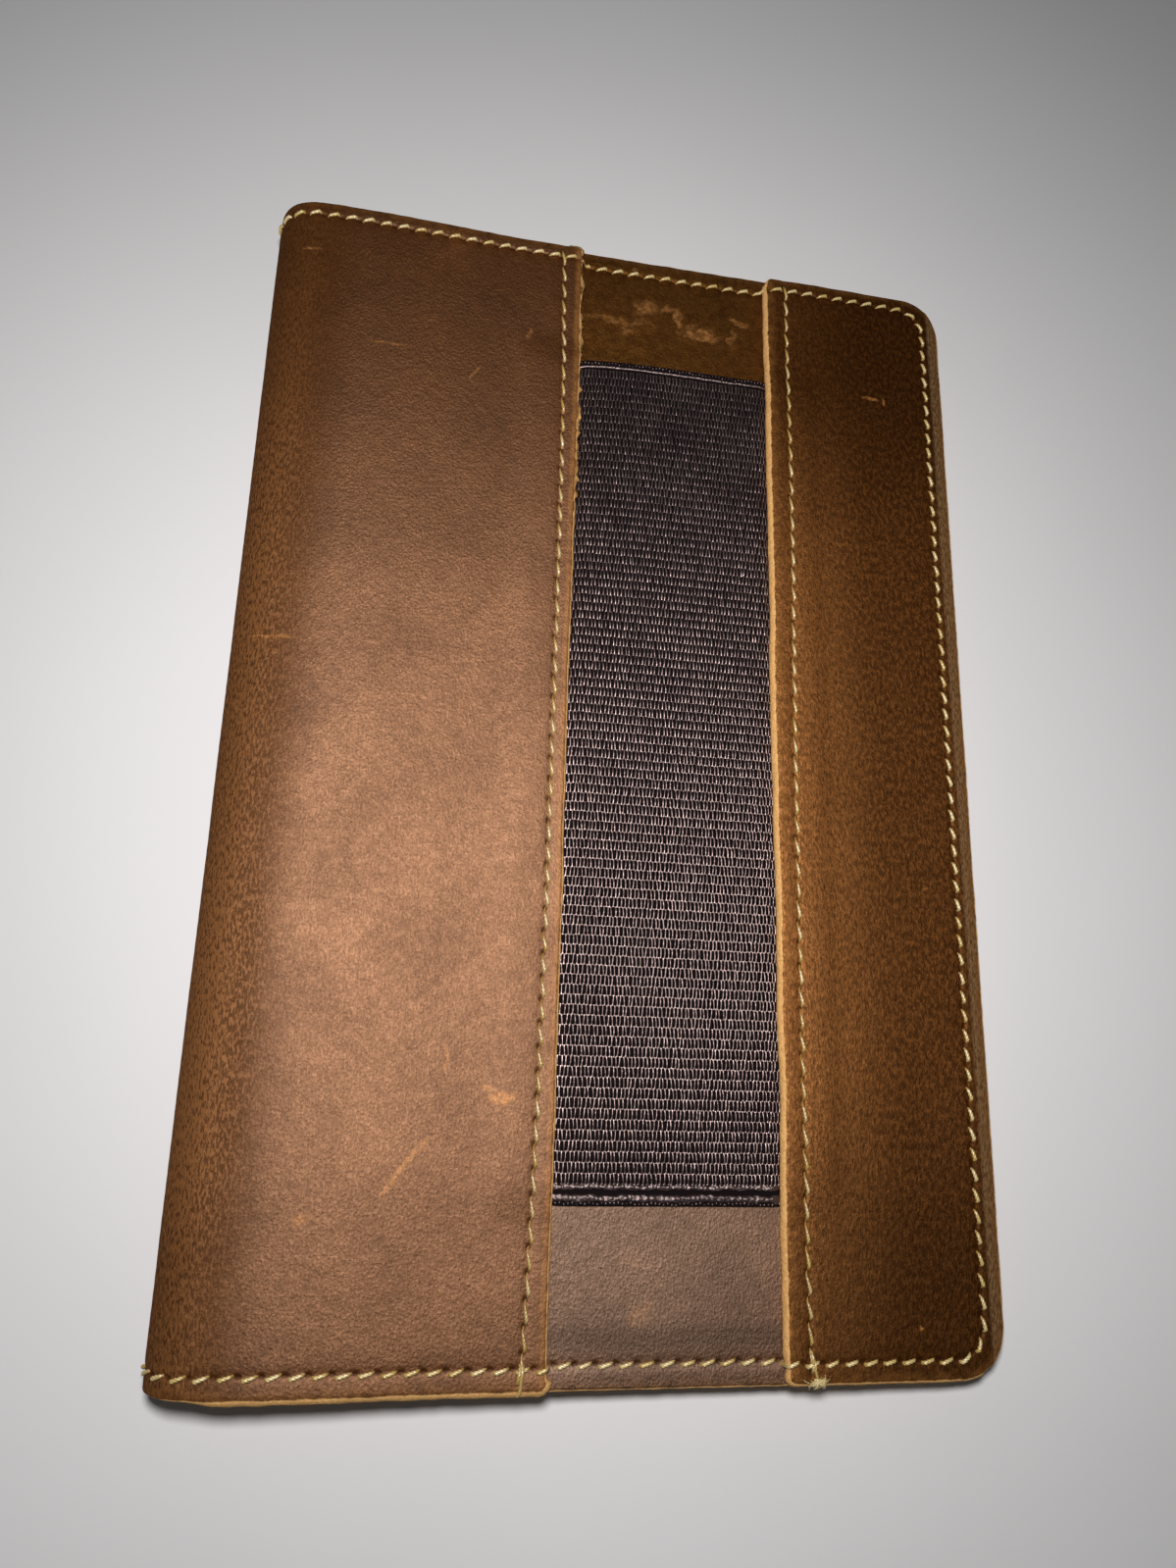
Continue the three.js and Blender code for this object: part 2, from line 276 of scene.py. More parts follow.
# ---------------------------------------------------------------- seams on the map
class Seam:
    """A row of stitches along a path. Each stitch crosses from the path's right to its left."""

    def __init__(self, path, pitch, closed=False):
        self.path = np.array(path, float)
        if closed:
            self.path = np.vstack([self.path, self.path[:1]])
        steps = np.hypot(*np.diff(self.path, axis=0).T)
        self.lengths = np.concatenate([[0], np.cumsum(steps)])
        self.length = self.lengths[-1]
        self.count = int(round(self.length / pitch))
        self.pitch = self.length / self.count

    def at(self, t):
        """Points on the path at lengths t."""
        return np.stack([np.interp(t, self.lengths, self.path[:, i]) for i in (0, 1)], -1)

    def left(self, t, step=0.05):
        """The direction to the path's left at lengths t."""
        along = self.at(np.minimum(t + step, self.length)) - self.at(np.maximum(t - step, 0))
        along /= np.maximum(np.linalg.norm(along, axis=-1, keepdims=True), 1e-9)
        return np.stack([-along[..., 1], along[..., 0]], -1)

    def holes(self):
        """The needle holes and the direction across the seam at each."""
        t = np.arange(self.count + 1) * self.pitch
        left = self.left(t)
        return self.at(t) + HOLE_SHIFT * left, left

    def distance(self, points):
        """Distance from each point to the path."""
        best = np.full(len(points), FAR)
        for start, end in zip(self.path[:-1], self.path[1:]):
            run = end - start
            t = np.clip((points - start) @ run / max(run @ run, 1e-12), 0, 1)
            best = np.minimum(best, np.linalg.norm(points - start - t[:, None] * run, axis=1))
        return best

    def hole_distance(self, points):
        """Distance to the nearest needle hole, shortened along the seam; large far from the seam."""
        out = np.full(len(points), NO_HOLE)
        near = np.flatnonzero(self.distance(points) < 1.5)
        holes, left = self.holes()
        for block in np.array_split(near, max(len(near) // 3000, 1)):
            gap = points[block][:, None] - holes[None]
            across = (gap * left[None]).sum(2)
            along = np.sqrt(np.maximum((gap**2).sum(2) - across**2, 0))
            out[block] = np.hypot(across, along / HOLE_STRETCH).min(1) if len(block) else []
        return out


def arc(centre, radius, start, steps):
    turn = np.linspace(start, start + math.pi / 2, steps)
    return np.stack([centre[0] + radius * np.cos(turn), centre[1] + radius * np.sin(turn)], -1)


def edge_path():
    """Round the unrolled cover just inside its edge, anticlockwise from the front's lower corner."""
    radius = CORNER_RADIUS - SEAM_MARGIN
    low, high = CORNER_RADIUS, skin.length - FORE_SEAM_MARGIN - radius
    up = HALF_HEIGHT - CORNER_RADIUS
    centres = [(high, -up), (high, up), (low, up), (low, -up)]
    return np.vstack([arc(c, radius, (i - 1) * math.pi / 2, 9) for i, c in enumerate(centres)])


def window_path(place, bow, middle):
    """Up the edge of the window, drawn towards it in the middle by the elastic."""
    y = np.linspace(-1, 1, 31) * (HALF_HEIGHT - 1.1)
    share = 1 - np.abs(np.clip((y - middle) / (HALF_HEIGHT - abs(middle)), -1, 1)) ** 3
    return np.stack([place + bow * share, y], -1)


edge_seam = Seam(edge_path(), EDGE_PITCH, closed=True)
left_seam = Seam(window_path(S_SEAM_LEFT + 0.15, 0.85, 0), WINDOW_PITCH)
right_seam = Seam(window_path(S_SEAM_RIGHT, -0.4, -25), WINDOW_PITCH)


# ---------------------------------------------------------------- meshes
def make_mesh(name, points, faces, attributes, material):
    """A smooth mesh object from points in millimetres and one value or vector per point."""
    mesh = bpy.data.meshes.new(name)
    mesh.from_pydata((np.asarray(points) * MM).tolist(), [], faces)
    for key, values in attributes.items():
        values = np.asarray(values, np.float32)
        kind, field = ("FLOAT_VECTOR", "vector") if values.ndim == 2 else ("FLOAT", "value")
        mesh.attributes.new(key, kind, "POINT").data.foreach_set(field, values.ravel())
    mesh.polygons.foreach_set("use_smooth", [True] * len(mesh.polygons))
    mesh.materials.append(material)
    made = bpy.data.objects.new(name, mesh)
    bpy.context.scene.collection.objects.link(made)
    return made


def grid_quads(first, rows, columns):
    """The quads of grids whose points are numbered row by row from each grid's first point."""
    corner = np.arange(rows - 1)[:, None] * columns + np.arange(columns - 1)
    a = np.reshape(first, (-1, 1, 1)) + corner
    return np.stack([a, a + 1, a + 1 + columns, a + columns], -1).reshape(-1, 4)


def triangulated(ring, inner):
    """Points and triangles of an area on the map, and where the ring's points are among them."""
    coords = [Vector(p) for p in np.vstack([ring, inner])]
    loop = list(range(len(ring)))
    points, _, faces, sources, _, _ = delaunay_2d_cdt(coords, [], [loop], 1, 1e-6)
    place = {old: new for new, olds in enumerate(sources) for old in olds}
    return np.array([tuple(p) for p in points]), faces, np.array([place[i] for i in loop])


@dataclass
class Layer:
    """One sheet of leather, cut between two places on the map, with softly rounded edges.

    `top` and `base` give its depths, `slant` how far its cut leans out. Its long sides may be open
    where it carries on in the next piece, or have round corners. `trim` moves its edge in, `wander`
    and `nibs` make the edge uneven, `droop` bends down its high side, and `lifted` raises it over
    the elastic.
    """

    LATTICE = 1.1
    SEAM_GRID = 0.2
    SEAM_REACH = 0.9
    RIM_STEP = 0.45
    RIM_LOOPS = 7

    low: float
    high: float
    top: object
    base: object
    seams: tuple = ()
    grain_out: bool = True
    round_low: bool = False
    round_high: bool = False
    open_low: bool = False
    open_high: bool = False
    trim: float = 0.0
    edge_round: float = 0.5
    lifted: bool = False
    wander: float = 0.0
    nibs: float = 0.0
    slant: object = None
    droop: float = 0.0
    seed: int = 1

    def edge_distance(self, points):
        """Distance in from the sheet's cut edge."""
        s, y = points[:, 0], points[:, 1]
        to_low = np.where(self.open_low, FAR, s - self.low)
        to_high = np.where(self.open_high, FAR, self.high - s)
        up = HALF_HEIGHT - np.abs(y)
        distance = np.minimum(np.minimum(to_low, to_high), up)
        for rounded, side in ((self.round_low, to_low), (self.round_high, to_high)):
            corner = (side < CORNER_RADIUS) & (up < CORNER_RADIUS) & rounded
            bent = CORNER_RADIUS - np.hypot(CORNER_RADIUS - side, CORNER_RADIUS - up)
            distance = np.where(corner, bent, distance)
        return distance - self.trim

    def corner_radius(self, is_open, is_round):
        """The radius of the flat part's corners on one side of the sheet."""
        if is_open:
            return 0
        if is_round:
            return CORNER_RADIUS - (self.edge_round + self.trim)
        return CUT_CORNER_RADIUS - self.edge_round

    def ring(self):
        """The outline of the sheet's flat part on the map, anticlockwise."""
        inset = self.edge_round + self.trim
        up = HALF_HEIGHT - inset
        low = self.low + (0 if self.open_low else inset)
        high = self.high - (0 if self.open_high else inset)
        radius_low = self.corner_radius(self.open_low, self.round_low)
        radius_high = self.corner_radius(self.open_high, self.round_high)
        corners = [(high, -1, radius_high), (high, 1, radius_high)]
        corners += [(low, 1, radius_low), (low, -1, radius_low)]
        path = []
        for i, (edge, side, radius) in enumerate(corners):
            inward = -1 if edge == high else 1
            centre = (edge + inward * radius, side * (up - radius))
            steps = 1 if radius == 0 else max(int(radius * 4), 4)
            path.append(arc(centre, radius, (i - 1) * math.pi / 2, steps))
        path = np.vstack(path)
        ring = []
        for start, end in zip(path, np.roll(path, -1, axis=0)):
            pieces = max(int(np.linalg.norm(end - start) / self.RIM_STEP), 1)
            ring += [start + (end - start) * k / pieces for k in range(pieces)]
        return np.array(ring)

    def inner_points(self, near_seams):
        """A loose lattice over the sheet, with a close one along the seams if asked for."""
        step = self.LATTICE
        margin = self.edge_round + 0.35
        rows = np.arange(-HALF_HEIGHT, HALF_HEIGHT, step * 0.87)
        columns = np.arange(self.low, self.high, step)
        s, y = np.meshgrid(columns, rows)
        s = s + step / 2 * (np.arange(len(rows)) % 2)[:, None]
        loose = np.stack([s.ravel(), y.ravel()], -1)
        loose = loose[self.edge_distance(loose) > margin]
        close = []
        for seam in self.seams if near_seams else ():
            loose = loose[seam.distance(loose) > self.SEAM_REACH + 0.2]
            t = np.arange(0, seam.length, self.SEAM_GRID)
            for v in np.arange(-self.SEAM_REACH, self.SEAM_REACH + 0.01, self.SEAM_GRID):
                close.append(seam.at(t) + v * seam.left(t))
        if close:
            close = np.vstack(close)
            close = close[self.edge_distance(close) > self.edge_round + 0.1]
            cells = np.round(close / (0.7 * self.SEAM_GRID)).astype(int)
            close = close[np.unique(cells, axis=0, return_index=True)[1]]
            loose = np.vstack([loose, close])
        inside = (loose[:, 0] > self.low + 0.12) & (loose[:, 0] < self.high - 0.12)
        return loose[inside]

    def warped(self, points):
        """Lets a straight cut edge wander a little, as a hand-held knife does."""
        s, y = points[:, 0], points[:, 1]
        pull = np.exp(-(((s - self.low) / 2.5) ** 2)) * (not (self.round_low or self.open_low))
        pull = pull + np.exp(-(((s - self.high) / 2.5) ** 2)) * (not (self.round_high or self.open_high))
        shift = ripple(y, y * 0 + self.seed, 11, 3) + 0.4 * ripple(y, y * 0 + self.seed, 3.1, 4)
        return np.stack([s + self.wander * pull * shift, y], -1)

    def relief(self, points, with_seams):
        """How far the leather stands off its plain depth."""
        s, y = points[:, 0], points[:, 1]
        height = 0.05 * ripple(s, y, 17, 3) + 0.02 * ripple(s, y, 5, 5)
        height = height - EDGE_SINK * np.exp(-((self.edge_distance(points) / 1.6) ** 2))
        height = height - self.droop * np.exp(-(((self.high - s) / 1.5) ** 2))
        if self.lifted:
            height = height + over_elastic(s, y)
        holes = np.full(len(points), NO_HOLE)
        for seam in self.seams if with_seams else ():
            height = height - SEAM_CREASE * np.exp(-((seam.distance(points) / 0.7) ** 2))
            holes = np.minimum(holes, seam.hole_distance(points))
        height = height - HOLE_DEPTH * np.exp(-((holes / HOLE_RADIUS) ** 2))
        return height, holes

    def outward(self, ring):
        """The direction out of the sheet at each point of its outline, on the map."""
        ahead = np.roll(ring, -1, axis=0) - ring
        ahead /= np.linalg.norm(ahead, axis=1, keepdims=True)
        normal = np.stack([ahead[:, 1], -ahead[:, 0]], -1)
        both = normal + np.roll(normal, 1, axis=0)
        both /= np.linalg.norm(both, axis=1, keepdims=True)
        both /= np.maximum((both * normal).sum(1), 0.5)[:, None]
        at_open = self.on_open_side(ring)
        both[at_open, 0] = 0
        return both, at_open

    def on_open_side(self, ring):
        """Which outline points lie where the sheet carries on in the next piece."""
        low = (np.abs(ring[:, 0] - self.low) < 1e-4) & self.open_low
        high = (np.abs(ring[:, 0] - self.high) < 1e-4) & self.open_high
        return low | high

    def face(self, points, is_top, lift):
        """Places in space of points on the top or base face."""
        warped = self.warped(points)
        depth = self.top(warped[:, 0]) if is_top else self.base(warped[:, 0])
        return skin.at(warped[:, 0], warped[:, 1], depth - lift)

    def sheet_face(self, ring, is_top):
        """One face of the sheet: its triangles, where the ring is in it, its lift and its values."""
        is_grain = is_top == self.grain_out
        points, faces, on_ring = triangulated(ring, self.inner_points(is_grain))
        lift, holes = self.relief(points, is_grain)
        if not self.grain_out and is_grain:
            plain = self.relief(points, False)[0]
            lift = 2 * plain - lift
        if not is_top:
            faces = [f[::-1] for f in faces]
        values = {
            "place": self.face(points, is_top, lift),
            "flat": np.column_stack([points, np.full(len(points), 0.0 if is_grain else SHELL)]),
            "raw": np.full(len(points), 0.0 if is_grain else 1.0),
            "edge_distance": self.edge_distance(points),
            "hole_distance": holes,
        }
        return faces, on_ring, lift[on_ring], values

    def build(self, name, material, slot):
        ring = self.ring()
        outward, at_open = self.outward(ring)
        top_faces, top_ring, top_lift, top = self.sheet_face(ring, True)
        base_faces, base_ring, base_lift, base = self.sheet_face(ring, False)
        offset = len(top["raw"])
        total = offset + len(base["raw"])
        faces = [list(f) for f in top_faces] + [[i + offset for i in f] for f in base_faces]
        parts, loops = [top, base], [top_ring]
        for k in range(1, self.RIM_LOOPS + 1):
            turn = k / (self.RIM_LOOPS + 1)
            parts.append(self.rim_loop(ring, outward, turn, top_lift, base_lift))
            loops.append(total + np.arange(len(ring)))
            total += len(ring)
        loops.append(base_ring + offset)
        closed = ~(at_open & np.roll(at_open, -1))
        for upper, lower in zip(loops[:-1], loops[1:]):
            quads = np.stack([upper, lower, np.roll(lower, -1), np.roll(upper, -1)], -1)
            faces += quads[closed].tolist()
        values = {key: np.concatenate([part[key] for part in parts]) for key in top}
        return make_mesh(name, values.pop("place"), faces, values, material)

    def rim_loop(self, ring, outward, turn, lift_top, lift_base):
        """One loop round the cut edge; `turn` runs from 0 at the top face to 1 at the base."""
        angle = math.pi * (0.5 - turn)
        share = 0.5 - 0.5 * math.sin(angle)
        s, y = ring[:, 0], ring[:, 1]
        rough = 0.035 * ripple(s + 1.7 * y, 3 * share + y, 0.6, self.seed)
        rough = rough + 0.06 * ripple(s + y, y - s + 5 * share, 2.3, self.seed + 1)
        frayed = self.nibs * smooth((y - 28) / 8) * (np.abs(s - self.high) < 2)
        rough = rough + frayed * np.maximum(ripple(y * 1.0, 7 * share + 0 * y, 0.8, 9) - 0.1, 0)
        reach = (self.edge_round + rough) * math.cos(angle) ** 0.8
        if self.slant is not None:
            reach = reach + self.slant(s, y) * share**0.6
        moved = ring + outward * reach[:, None]
        warped = self.warped(moved)
        inner = self.warped(ring)[:, 0]
        top, base = self.top(inner), self.base(inner)
        depth = top + (base - top) * share
        lift = lift_top + (lift_base - lift_top) * share
        from_grain = share if self.grain_out else 1 - share
        return {
            "place": skin.at(warped[:, 0], warped[:, 1], depth - lift),
            "flat": np.column_stack([moved, np.full(len(ring), SHELL * from_grain)]),
            "raw": np.full(len(ring), 0.8 * float(smooth(from_grain / 0.2))),
            "edge_distance": np.zeros(len(ring)),
            "hole_distance": np.full(len(ring), NO_HOLE),
        }


# ---------------------------------------------------------------- thread
PLY_GAP_SHADE = 0.28


def tube_faces(first, tubes, rings, sides):
    """The quads round each tube, and a cap at both of its ends."""
    starts = first + np.arange(tubes)[:, None, None] * rings * sides
    j = np.arange(sides)
    ring = starts + np.arange(rings - 1)[:, None] * sides
    a, b = ring + j, ring + (j + 1) % sides
    quads = np.stack([a, b, b + sides, a + sides], -1).reshape(-1, 4)
    caps = starts[:, 0] + j
    return quads.tolist() + caps[:, ::-1].tolist() + (caps + (rings - 1) * sides).tolist()


class Tubes:
    """Collects many short tubes drawn on the map into one mesh."""

    def __init__(self):
        self.points, self.faces, self.tone, self.along, self.soil = [], [], [], [], []
        self.count = 0

    def add(self, s, y, depth, radius, lobes=0.2, sides=15, tone=None, soil=0.0):
        """Tubes whose centres are given as arrays of [tube, ring]; depth is under the skin."""
        given = [np.asarray(a, float) for a in (s, y, depth, radius)]
        s, y, depth, radius = np.broadcast_arrays(*given)
        tubes, rings = s.shape
        ds, dy, dz = (np.gradient(a, axis=1) for a in (s, y, depth))
        run = np.maximum(np.hypot(ds, dy), 1e-6)
        travelled = np.cumsum(np.sqrt(ds**2 + dy**2 + dz**2), axis=1)

        turn = np.linspace(0, 2 * math.pi, sides, endpoint=False)
        start = 2 * math.pi * hashed(np.arange(tubes), self.count, 5)[:, None]
        twist = (2 * math.pi * travelled / PLY_LAY + start)[..., None]
        plies = np.cos(3 * turn - twist * 3)
        thick = radius[..., None] * (1 + lobes * plies)
        across, up = thick * np.cos(turn), thick * np.sin(turn)
        ps = s[..., None] + (-dy / run)[..., None] * across
        py = y[..., None] + (ds / run)[..., None] * across
        self.points.append(skin.at(ps, py, depth[..., None] - up).reshape(-1, 3))
        self.faces += tube_faces(self.count, tubes, rings, sides)

        tone = hashed(np.arange(tubes), 3, 8) if tone is None else np.full(tubes, tone)
        self.tone.append(np.repeat(tone, rings * sides))
        # Painted shade between the plies.
        ply_gap_shade = PLY_GAP_SHADE * (1 - plies) * (lobes > 0)
        soil = np.broadcast_to(np.asarray(soil, float), (tubes, rings))[..., None] + ply_gap_shade
        self.soil.append(np.clip(soil, 0, 1).ravel())
        apart = travelled[..., None] + 7 * np.arange(tubes)[:, None, None]
        along = np.stack(np.broadcast_arrays(apart, turn / 6, 0.0), -1)
        self.along.append(along.reshape(-1, 3))
        self.count += tubes * rings * sides

    def build(self, name, material, slot):
        attributes = {
            "tone": np.concatenate(self.tone),
            "flat": np.concatenate(self.along),
            "soil": np.concatenate(self.soil),
        }
        return make_mesh(name, np.concatenate(self.points), self.faces, attributes, material)


# How a stitch runs from its first hole (0) to its next (1): sideways swing, height over the leather,
# what a tight seam adds to that height, thickness, and painted shade on a loose and on a tight stitch
# where it dips into its holes.
STITCH_RINGS = np.linspace(0, 1, 23)
SWING = [0, 0.14, 0.26, 0.5, 0.78, 0.88, 1.0], [-0.2, -0.85, -0.9, 0.0, 0.9, 0.8, 0.1]
RISE_AT = [0, 0.1, 0.16, 0.26, 0.5, 0.7, 0.8, 0.9, 1.0]
RISE = np.array([-0.75, -0.6, -0.12, 0.12, 0.16, 0.1, -0.14, -0.6, -0.75])
TIGHT_RISE = np.array([0.1, 0.3, 0.05, -0.03, -0.04, -0.02, 0.1, 0.42, 0.3])
THICKNESS = [0, 0.2, 0.35, 0.7, 0.82, 1.0], [0.7, 1.1, 1.15, 0.95, 0.62, 0.55]
LOOSE_DIP_SHADE = [0, 0.12, 0.24, 0.62, 0.84, 1.0], [1, 0.7, 0.0, 0.05, 0.75, 1.0]
TIGHT_DIP_SHADE = [0, 0.45, 0.75, 1.0], [0.2, 0.25, 0.9, 1.0]


def add_stitches(tubes, seam, depth_at, keep=None, outside=True, seed=1, tension=0.0):
    """The row of stitches of one side of a seam; `keep` picks them by their first hole's place."""
    first = np.arange(seam.count)
    if keep is not None:
        first = first[keep(seam.at((first + 0.5) * seam.pitch))]
    t = STITCH_RINGS[None, :]

    def shake(k, size):
        return shaken(size, first, k, seed)[:, None]

    start, end = -0.02 + shake(1, 0.03), 1.02 + shake(2, 0.03)
    length = (first[:, None] + start + (end - start) * t) * seam.pitch
    slant = 0.24 - 0.07 * tension + shake(3, 0.05)
    across = slant * np.interp(t, *SWING) * (1 if outside else -1) + shake(4, 0.04)
    centre = seam.at(length) + seam.left(length) * across[..., None]
    s, y = centre[..., 0], centre[..., 1]
    height = np.interp(t, RISE_AT, RISE + tension * TIGHT_RISE) + shake(5, 0.02)
    depth = depth_at(s) - height if outside else depth_at(s) + height
    radius = THREAD_RADIUS * (1 - 0.1 * tension) * np.interp(t, *THICKNESS)
    tight_dip_shade = tension * (np.interp(t, *TIGHT_DIP_SHADE) + shake(6, 0.12))
    tubes.add(s, y, depth, radius, soil=np.maximum(np.interp(t, *LOOSE_DIP_SHADE), tight_dip_shade))


def curve(points, steps=24):
    """A smooth line through points of the map and their heights over the skin."""
    points = np.array(points, float)
    t = np.linspace(0, len(points) - 1, steps)
    padded = np.vstack([2 * points[0] - points[1], points, 2 * points[-1] - points[-2]])
    i = np.minimum(t.astype(int), len(points) - 2)
    f = (t - i)[:, None]
    a, b, c, d = (padded[i + k] for k in range(4))
    square, cube = 2 * a - 5 * b + 4 * c - d, 3 * b - a - 3 * c + d
    return 0.5 * (2 * b + (c - a) * f + square * f**2 + cube * f**3)


# Loose ends get a flat olive tint through the same value that paints shade on the stitches.
def add_strand(tubes, points, radius, lobes=0.2, sides=12, tone=0.2, steps=24, soil=0.35):
    """A loose end of thread through points given as (map s, y, height over the skin)."""
    s, y, height = curve(points, steps).T[:, None]
    tubes.add(s, y, -height, radius, lobes, sides, tone, soil)


# ---------------------------------------------------------------- shader building
def rgb(red, green, blue):
    """A display colour, 0 to 255, as a linear one."""
    def linear(v):
        v = v / 255
        return v / 12.92 if v <= 0.04045 else ((v + 0.055) / 1.055) ** 2.4
    return (linear(red), linear(green), linear(blue), 1.0)


class Shader:
    """A material's node tree. Values and sockets can be passed alike."""

    def __init__(self, name):
        self.material = bpy.data.materials.new(name)
        self.material.use_nodes = True
        self.tree = self.material.node_tree
        self.tree.nodes.clear()

    def add(self, kind, values, **settings):
        node = self.tree.nodes.new("ShaderNode" + kind)
        for key, value in settings.items():
            setattr(node, key, value)
        for key, value in values.items():
            if isinstance(value, bpy.types.NodeSocket):
                self.tree.links.new(value, node.inputs[key])
            else:
                node.inputs[key].default_value = value
        return node

    def attribute(self, name):
        return self.add("Attribute", {}, attribute_name=name)

    def stretched(self, vector, scale):
        return self.add("Mapping", {"Vector": vector, "Scale": scale}).outputs[0]

    def noise(self, vector, scale, detail=3, roughness=0.55, distortion=0.0):
        values = {"Vector": vector, "Scale": scale, "Detail": detail, "Roughness": roughness}
        return self.add("TexNoise", values | {"Distortion": distortion}).outputs[0]

    def jitter(self, vector, scale, reach):
        """A small offset that varies from place to place, up to about half of `reach` each way."""
        values = {"Vector": vector, "Scale": scale, "Detail": 3, "Roughness": 0.6}
        colour = self.add("TexNoise", values).outputs["Color"]
        middle = self.vectors("SUBTRACT", colour, (0.5, 0.5, 0.5))
        return self.vectors("MULTIPLY", middle, (reach, reach, 0))

    def cells(self, vector, scale):
        return self.add("TexVoronoi", {"Vector": vector, "Scale": scale}).outputs["Distance"]

    def fit(self, value, low, high, to_low=0.0, to_high=1.0):
        """Smoothly maps low..high to to_low..to_high."""
        values = {"Value": value, "From Min": low, "From Max": high, "To Min": to_low, "To Max": to_high}
        return self.add("MapRange", values, interpolation_type="SMOOTHSTEP").outputs[0]

    def calc(self, operation, a, b=0.0, clamp=False):
        return self.add("Math", {0: a, 1: b}, operation=operation, use_clamp=clamp).outputs[0]

    def vectors(self, operation, a, b):
        return self.add("VectorMath", {0: a, 1: b}, operation=operation).outputs[0]

    def times(self, first, *others):
        for other in others:
            first = self.calc("MULTIPLY", first, other)
        return first

    def weighted(self, *parts):
        """The sum of values, each multiplied by its weight."""
        total = 0.0
        for value, weight in parts:
            total = self.calc("ADD", total, self.times(value, weight))
        return total

    def grey(self, value):
        return self.add("CombineXYZ", {0: value, 1: value, 2: value}).outputs[0]

    def band(self, value, low, high, soft):
        """1 between low and high, fading out over a soft distance on both sides."""
        rising = self.fit(value, low - soft, low + soft)
        falling = self.fit(value, high + soft, high - soft)
        return self.times(rising, falling)

    def mix(self, share, a, b, blend_type="MIX"):
        values = {"Fac": share, "Color1": a, "Color2": b}
        return self.add("MixRGB", values, blend_type=blend_type).outputs[0]

    def stroke(self, flat, centre, length, width, angle):
        """1 in the middle of a short stroke on the map, fading to 0 at its ends and sides."""
        values = {
            "Vector": flat,
            "Location": (centre[0], centre[1], 0),
            "Rotation": (0, 0, angle),
            "Scale": (length / 2, width / 2, 1000),
        }
        moved = self.add("Mapping", values, vector_type="TEXTURE").outputs[0]
        far = self.add("VectorMath", {0: moved}, operation="LENGTH").outputs["Value"]
        return self.fit(far, 1.0, 0.35)

    def bump(self, height, distance, strength=1.0, normal=None):
        values = {"Height": height, "Distance": distance * MM, "Strength": strength}
        if normal is not None:
            values["Normal"] = normal
        return self.add("Bump", values).outputs[0]

    def finish(self, values, gloss=None):
        """Ends the material in its surface, with a broad soft gloss over it if one is given."""
        surface = self.add("BsdfPrincipled", values).outputs[0]
        if gloss:
            lobe = self.add("BsdfAnisotropic", gloss, distribution="BECKMANN").outputs[0]
            surface = self.add("AddShader", {0: surface, 1: lobe}).outputs[0]
        self.add("OutputMaterial", {"Surface": surface})
        return self.material


# ---------------------------------------------------------------- materials
SCUFFS = [
    # x, y, length, width, turn in degrees, strength
    (-12.6, -44.8, 4.6, 2.2, 5, 1.0),
    (-14.0, -44.0, 4.0, 1.2, -25, 0.7),
    (-24.0, -53.0, 10.5, 0.9, 53, 0.75),
    (-21.6, -50.2, 3.0, 0.8, 50, 0.8),
    (-19.5, -40.6, 4.6, 0.55, 93, 0.8),
    (-34.5, -58.2, 3.0, 1.5, 30, 0.65),
    (-46.5, 68.0, 3.4, 0.6, 5, 0.7),
    (-44.2, 9.9, 7.5, 0.6, 2, 0.75),
    (-33.0, 54.4, 8.0, 0.5, 0, 0.4),
    (-21.0, 52.0, 4.0, 0.5, 60, 0.4),
    (-13.7, 59.7, 2.6, 1.0, 70, 0.5),
    (38.0, 57.2, 3.6, 0.9, -5, 0.9),
    (40.2, 57.0, 2.0, 0.6, 85, 0.8),
    (42.4, -17.0, 1.6, 0.8, 20, 0.7),
    (38.8, -70.2, 0.9, 0.5, 40, 1.0),
]

BACKING_SCUFFS = [
    (-0.4, 65.4, 13.0, 1.5, 0, 0.55),
    (0.9, 64.0, 2.4, 2.0, 0, 0.6),
    (3.4, 68.0, 5.0, 4.0, 20, 0.85),
    (7.2, 68.4, 5.0, 1.8, 0, 0.7),
    (8.6, 67.3, 5.0, 1.6, 90, 0.9),
    (12.0, 64.9, 8.6, 2.8, 3, 0.95),
    (10.5, 66.4, 3.5, 1.5, 30, 0.5),
    (18.0, 68.0, 3.6, 1.4, -25, 0.7),
    (17.0, 65.2, 3.8, 1.5, 90, 0.7),
    (1.8, 74.4, 2.0, 0.8, 90, 0.6),
    (8.0, 73.8, 2.2, 0.8, 90, 0.6),
    (4.5, -68.7, 4.0, 3.2, 20, 0.6),
    (3.8, -63.0, 5.0, 1.8, 0, 0.3),
]


LOW_BAND_START, LOW_BAND_END = -72.3, -69.6
PIT_SHADE = rgb(48, 25, 9)
LOW_BAND_DARK = rgb(20, 10, 4)
FIBROUS = rgb(136, 106, 72)
NAP_LIGHT, NAP_DARK = rgb(116, 68, 28), rgb(26, 12, 3)
RAW_LEATHER = rgb(232, 184, 120)
RUBBED_LEATHER = rgb(176, 118, 60)
RUBBED_BACKING = rgb(150, 102, 58)
WORN_LEATHER = rgb(118, 76, 41)
UPPER_BACKING_SHADED_GLOSS = (0.12, 0.052, 0.011, 1.0)
STRIP_GLOSS_SHARE = (0.96, 0.76, 0.42)
WHITE = (1.0, 1.0, 1.0, 1.0)


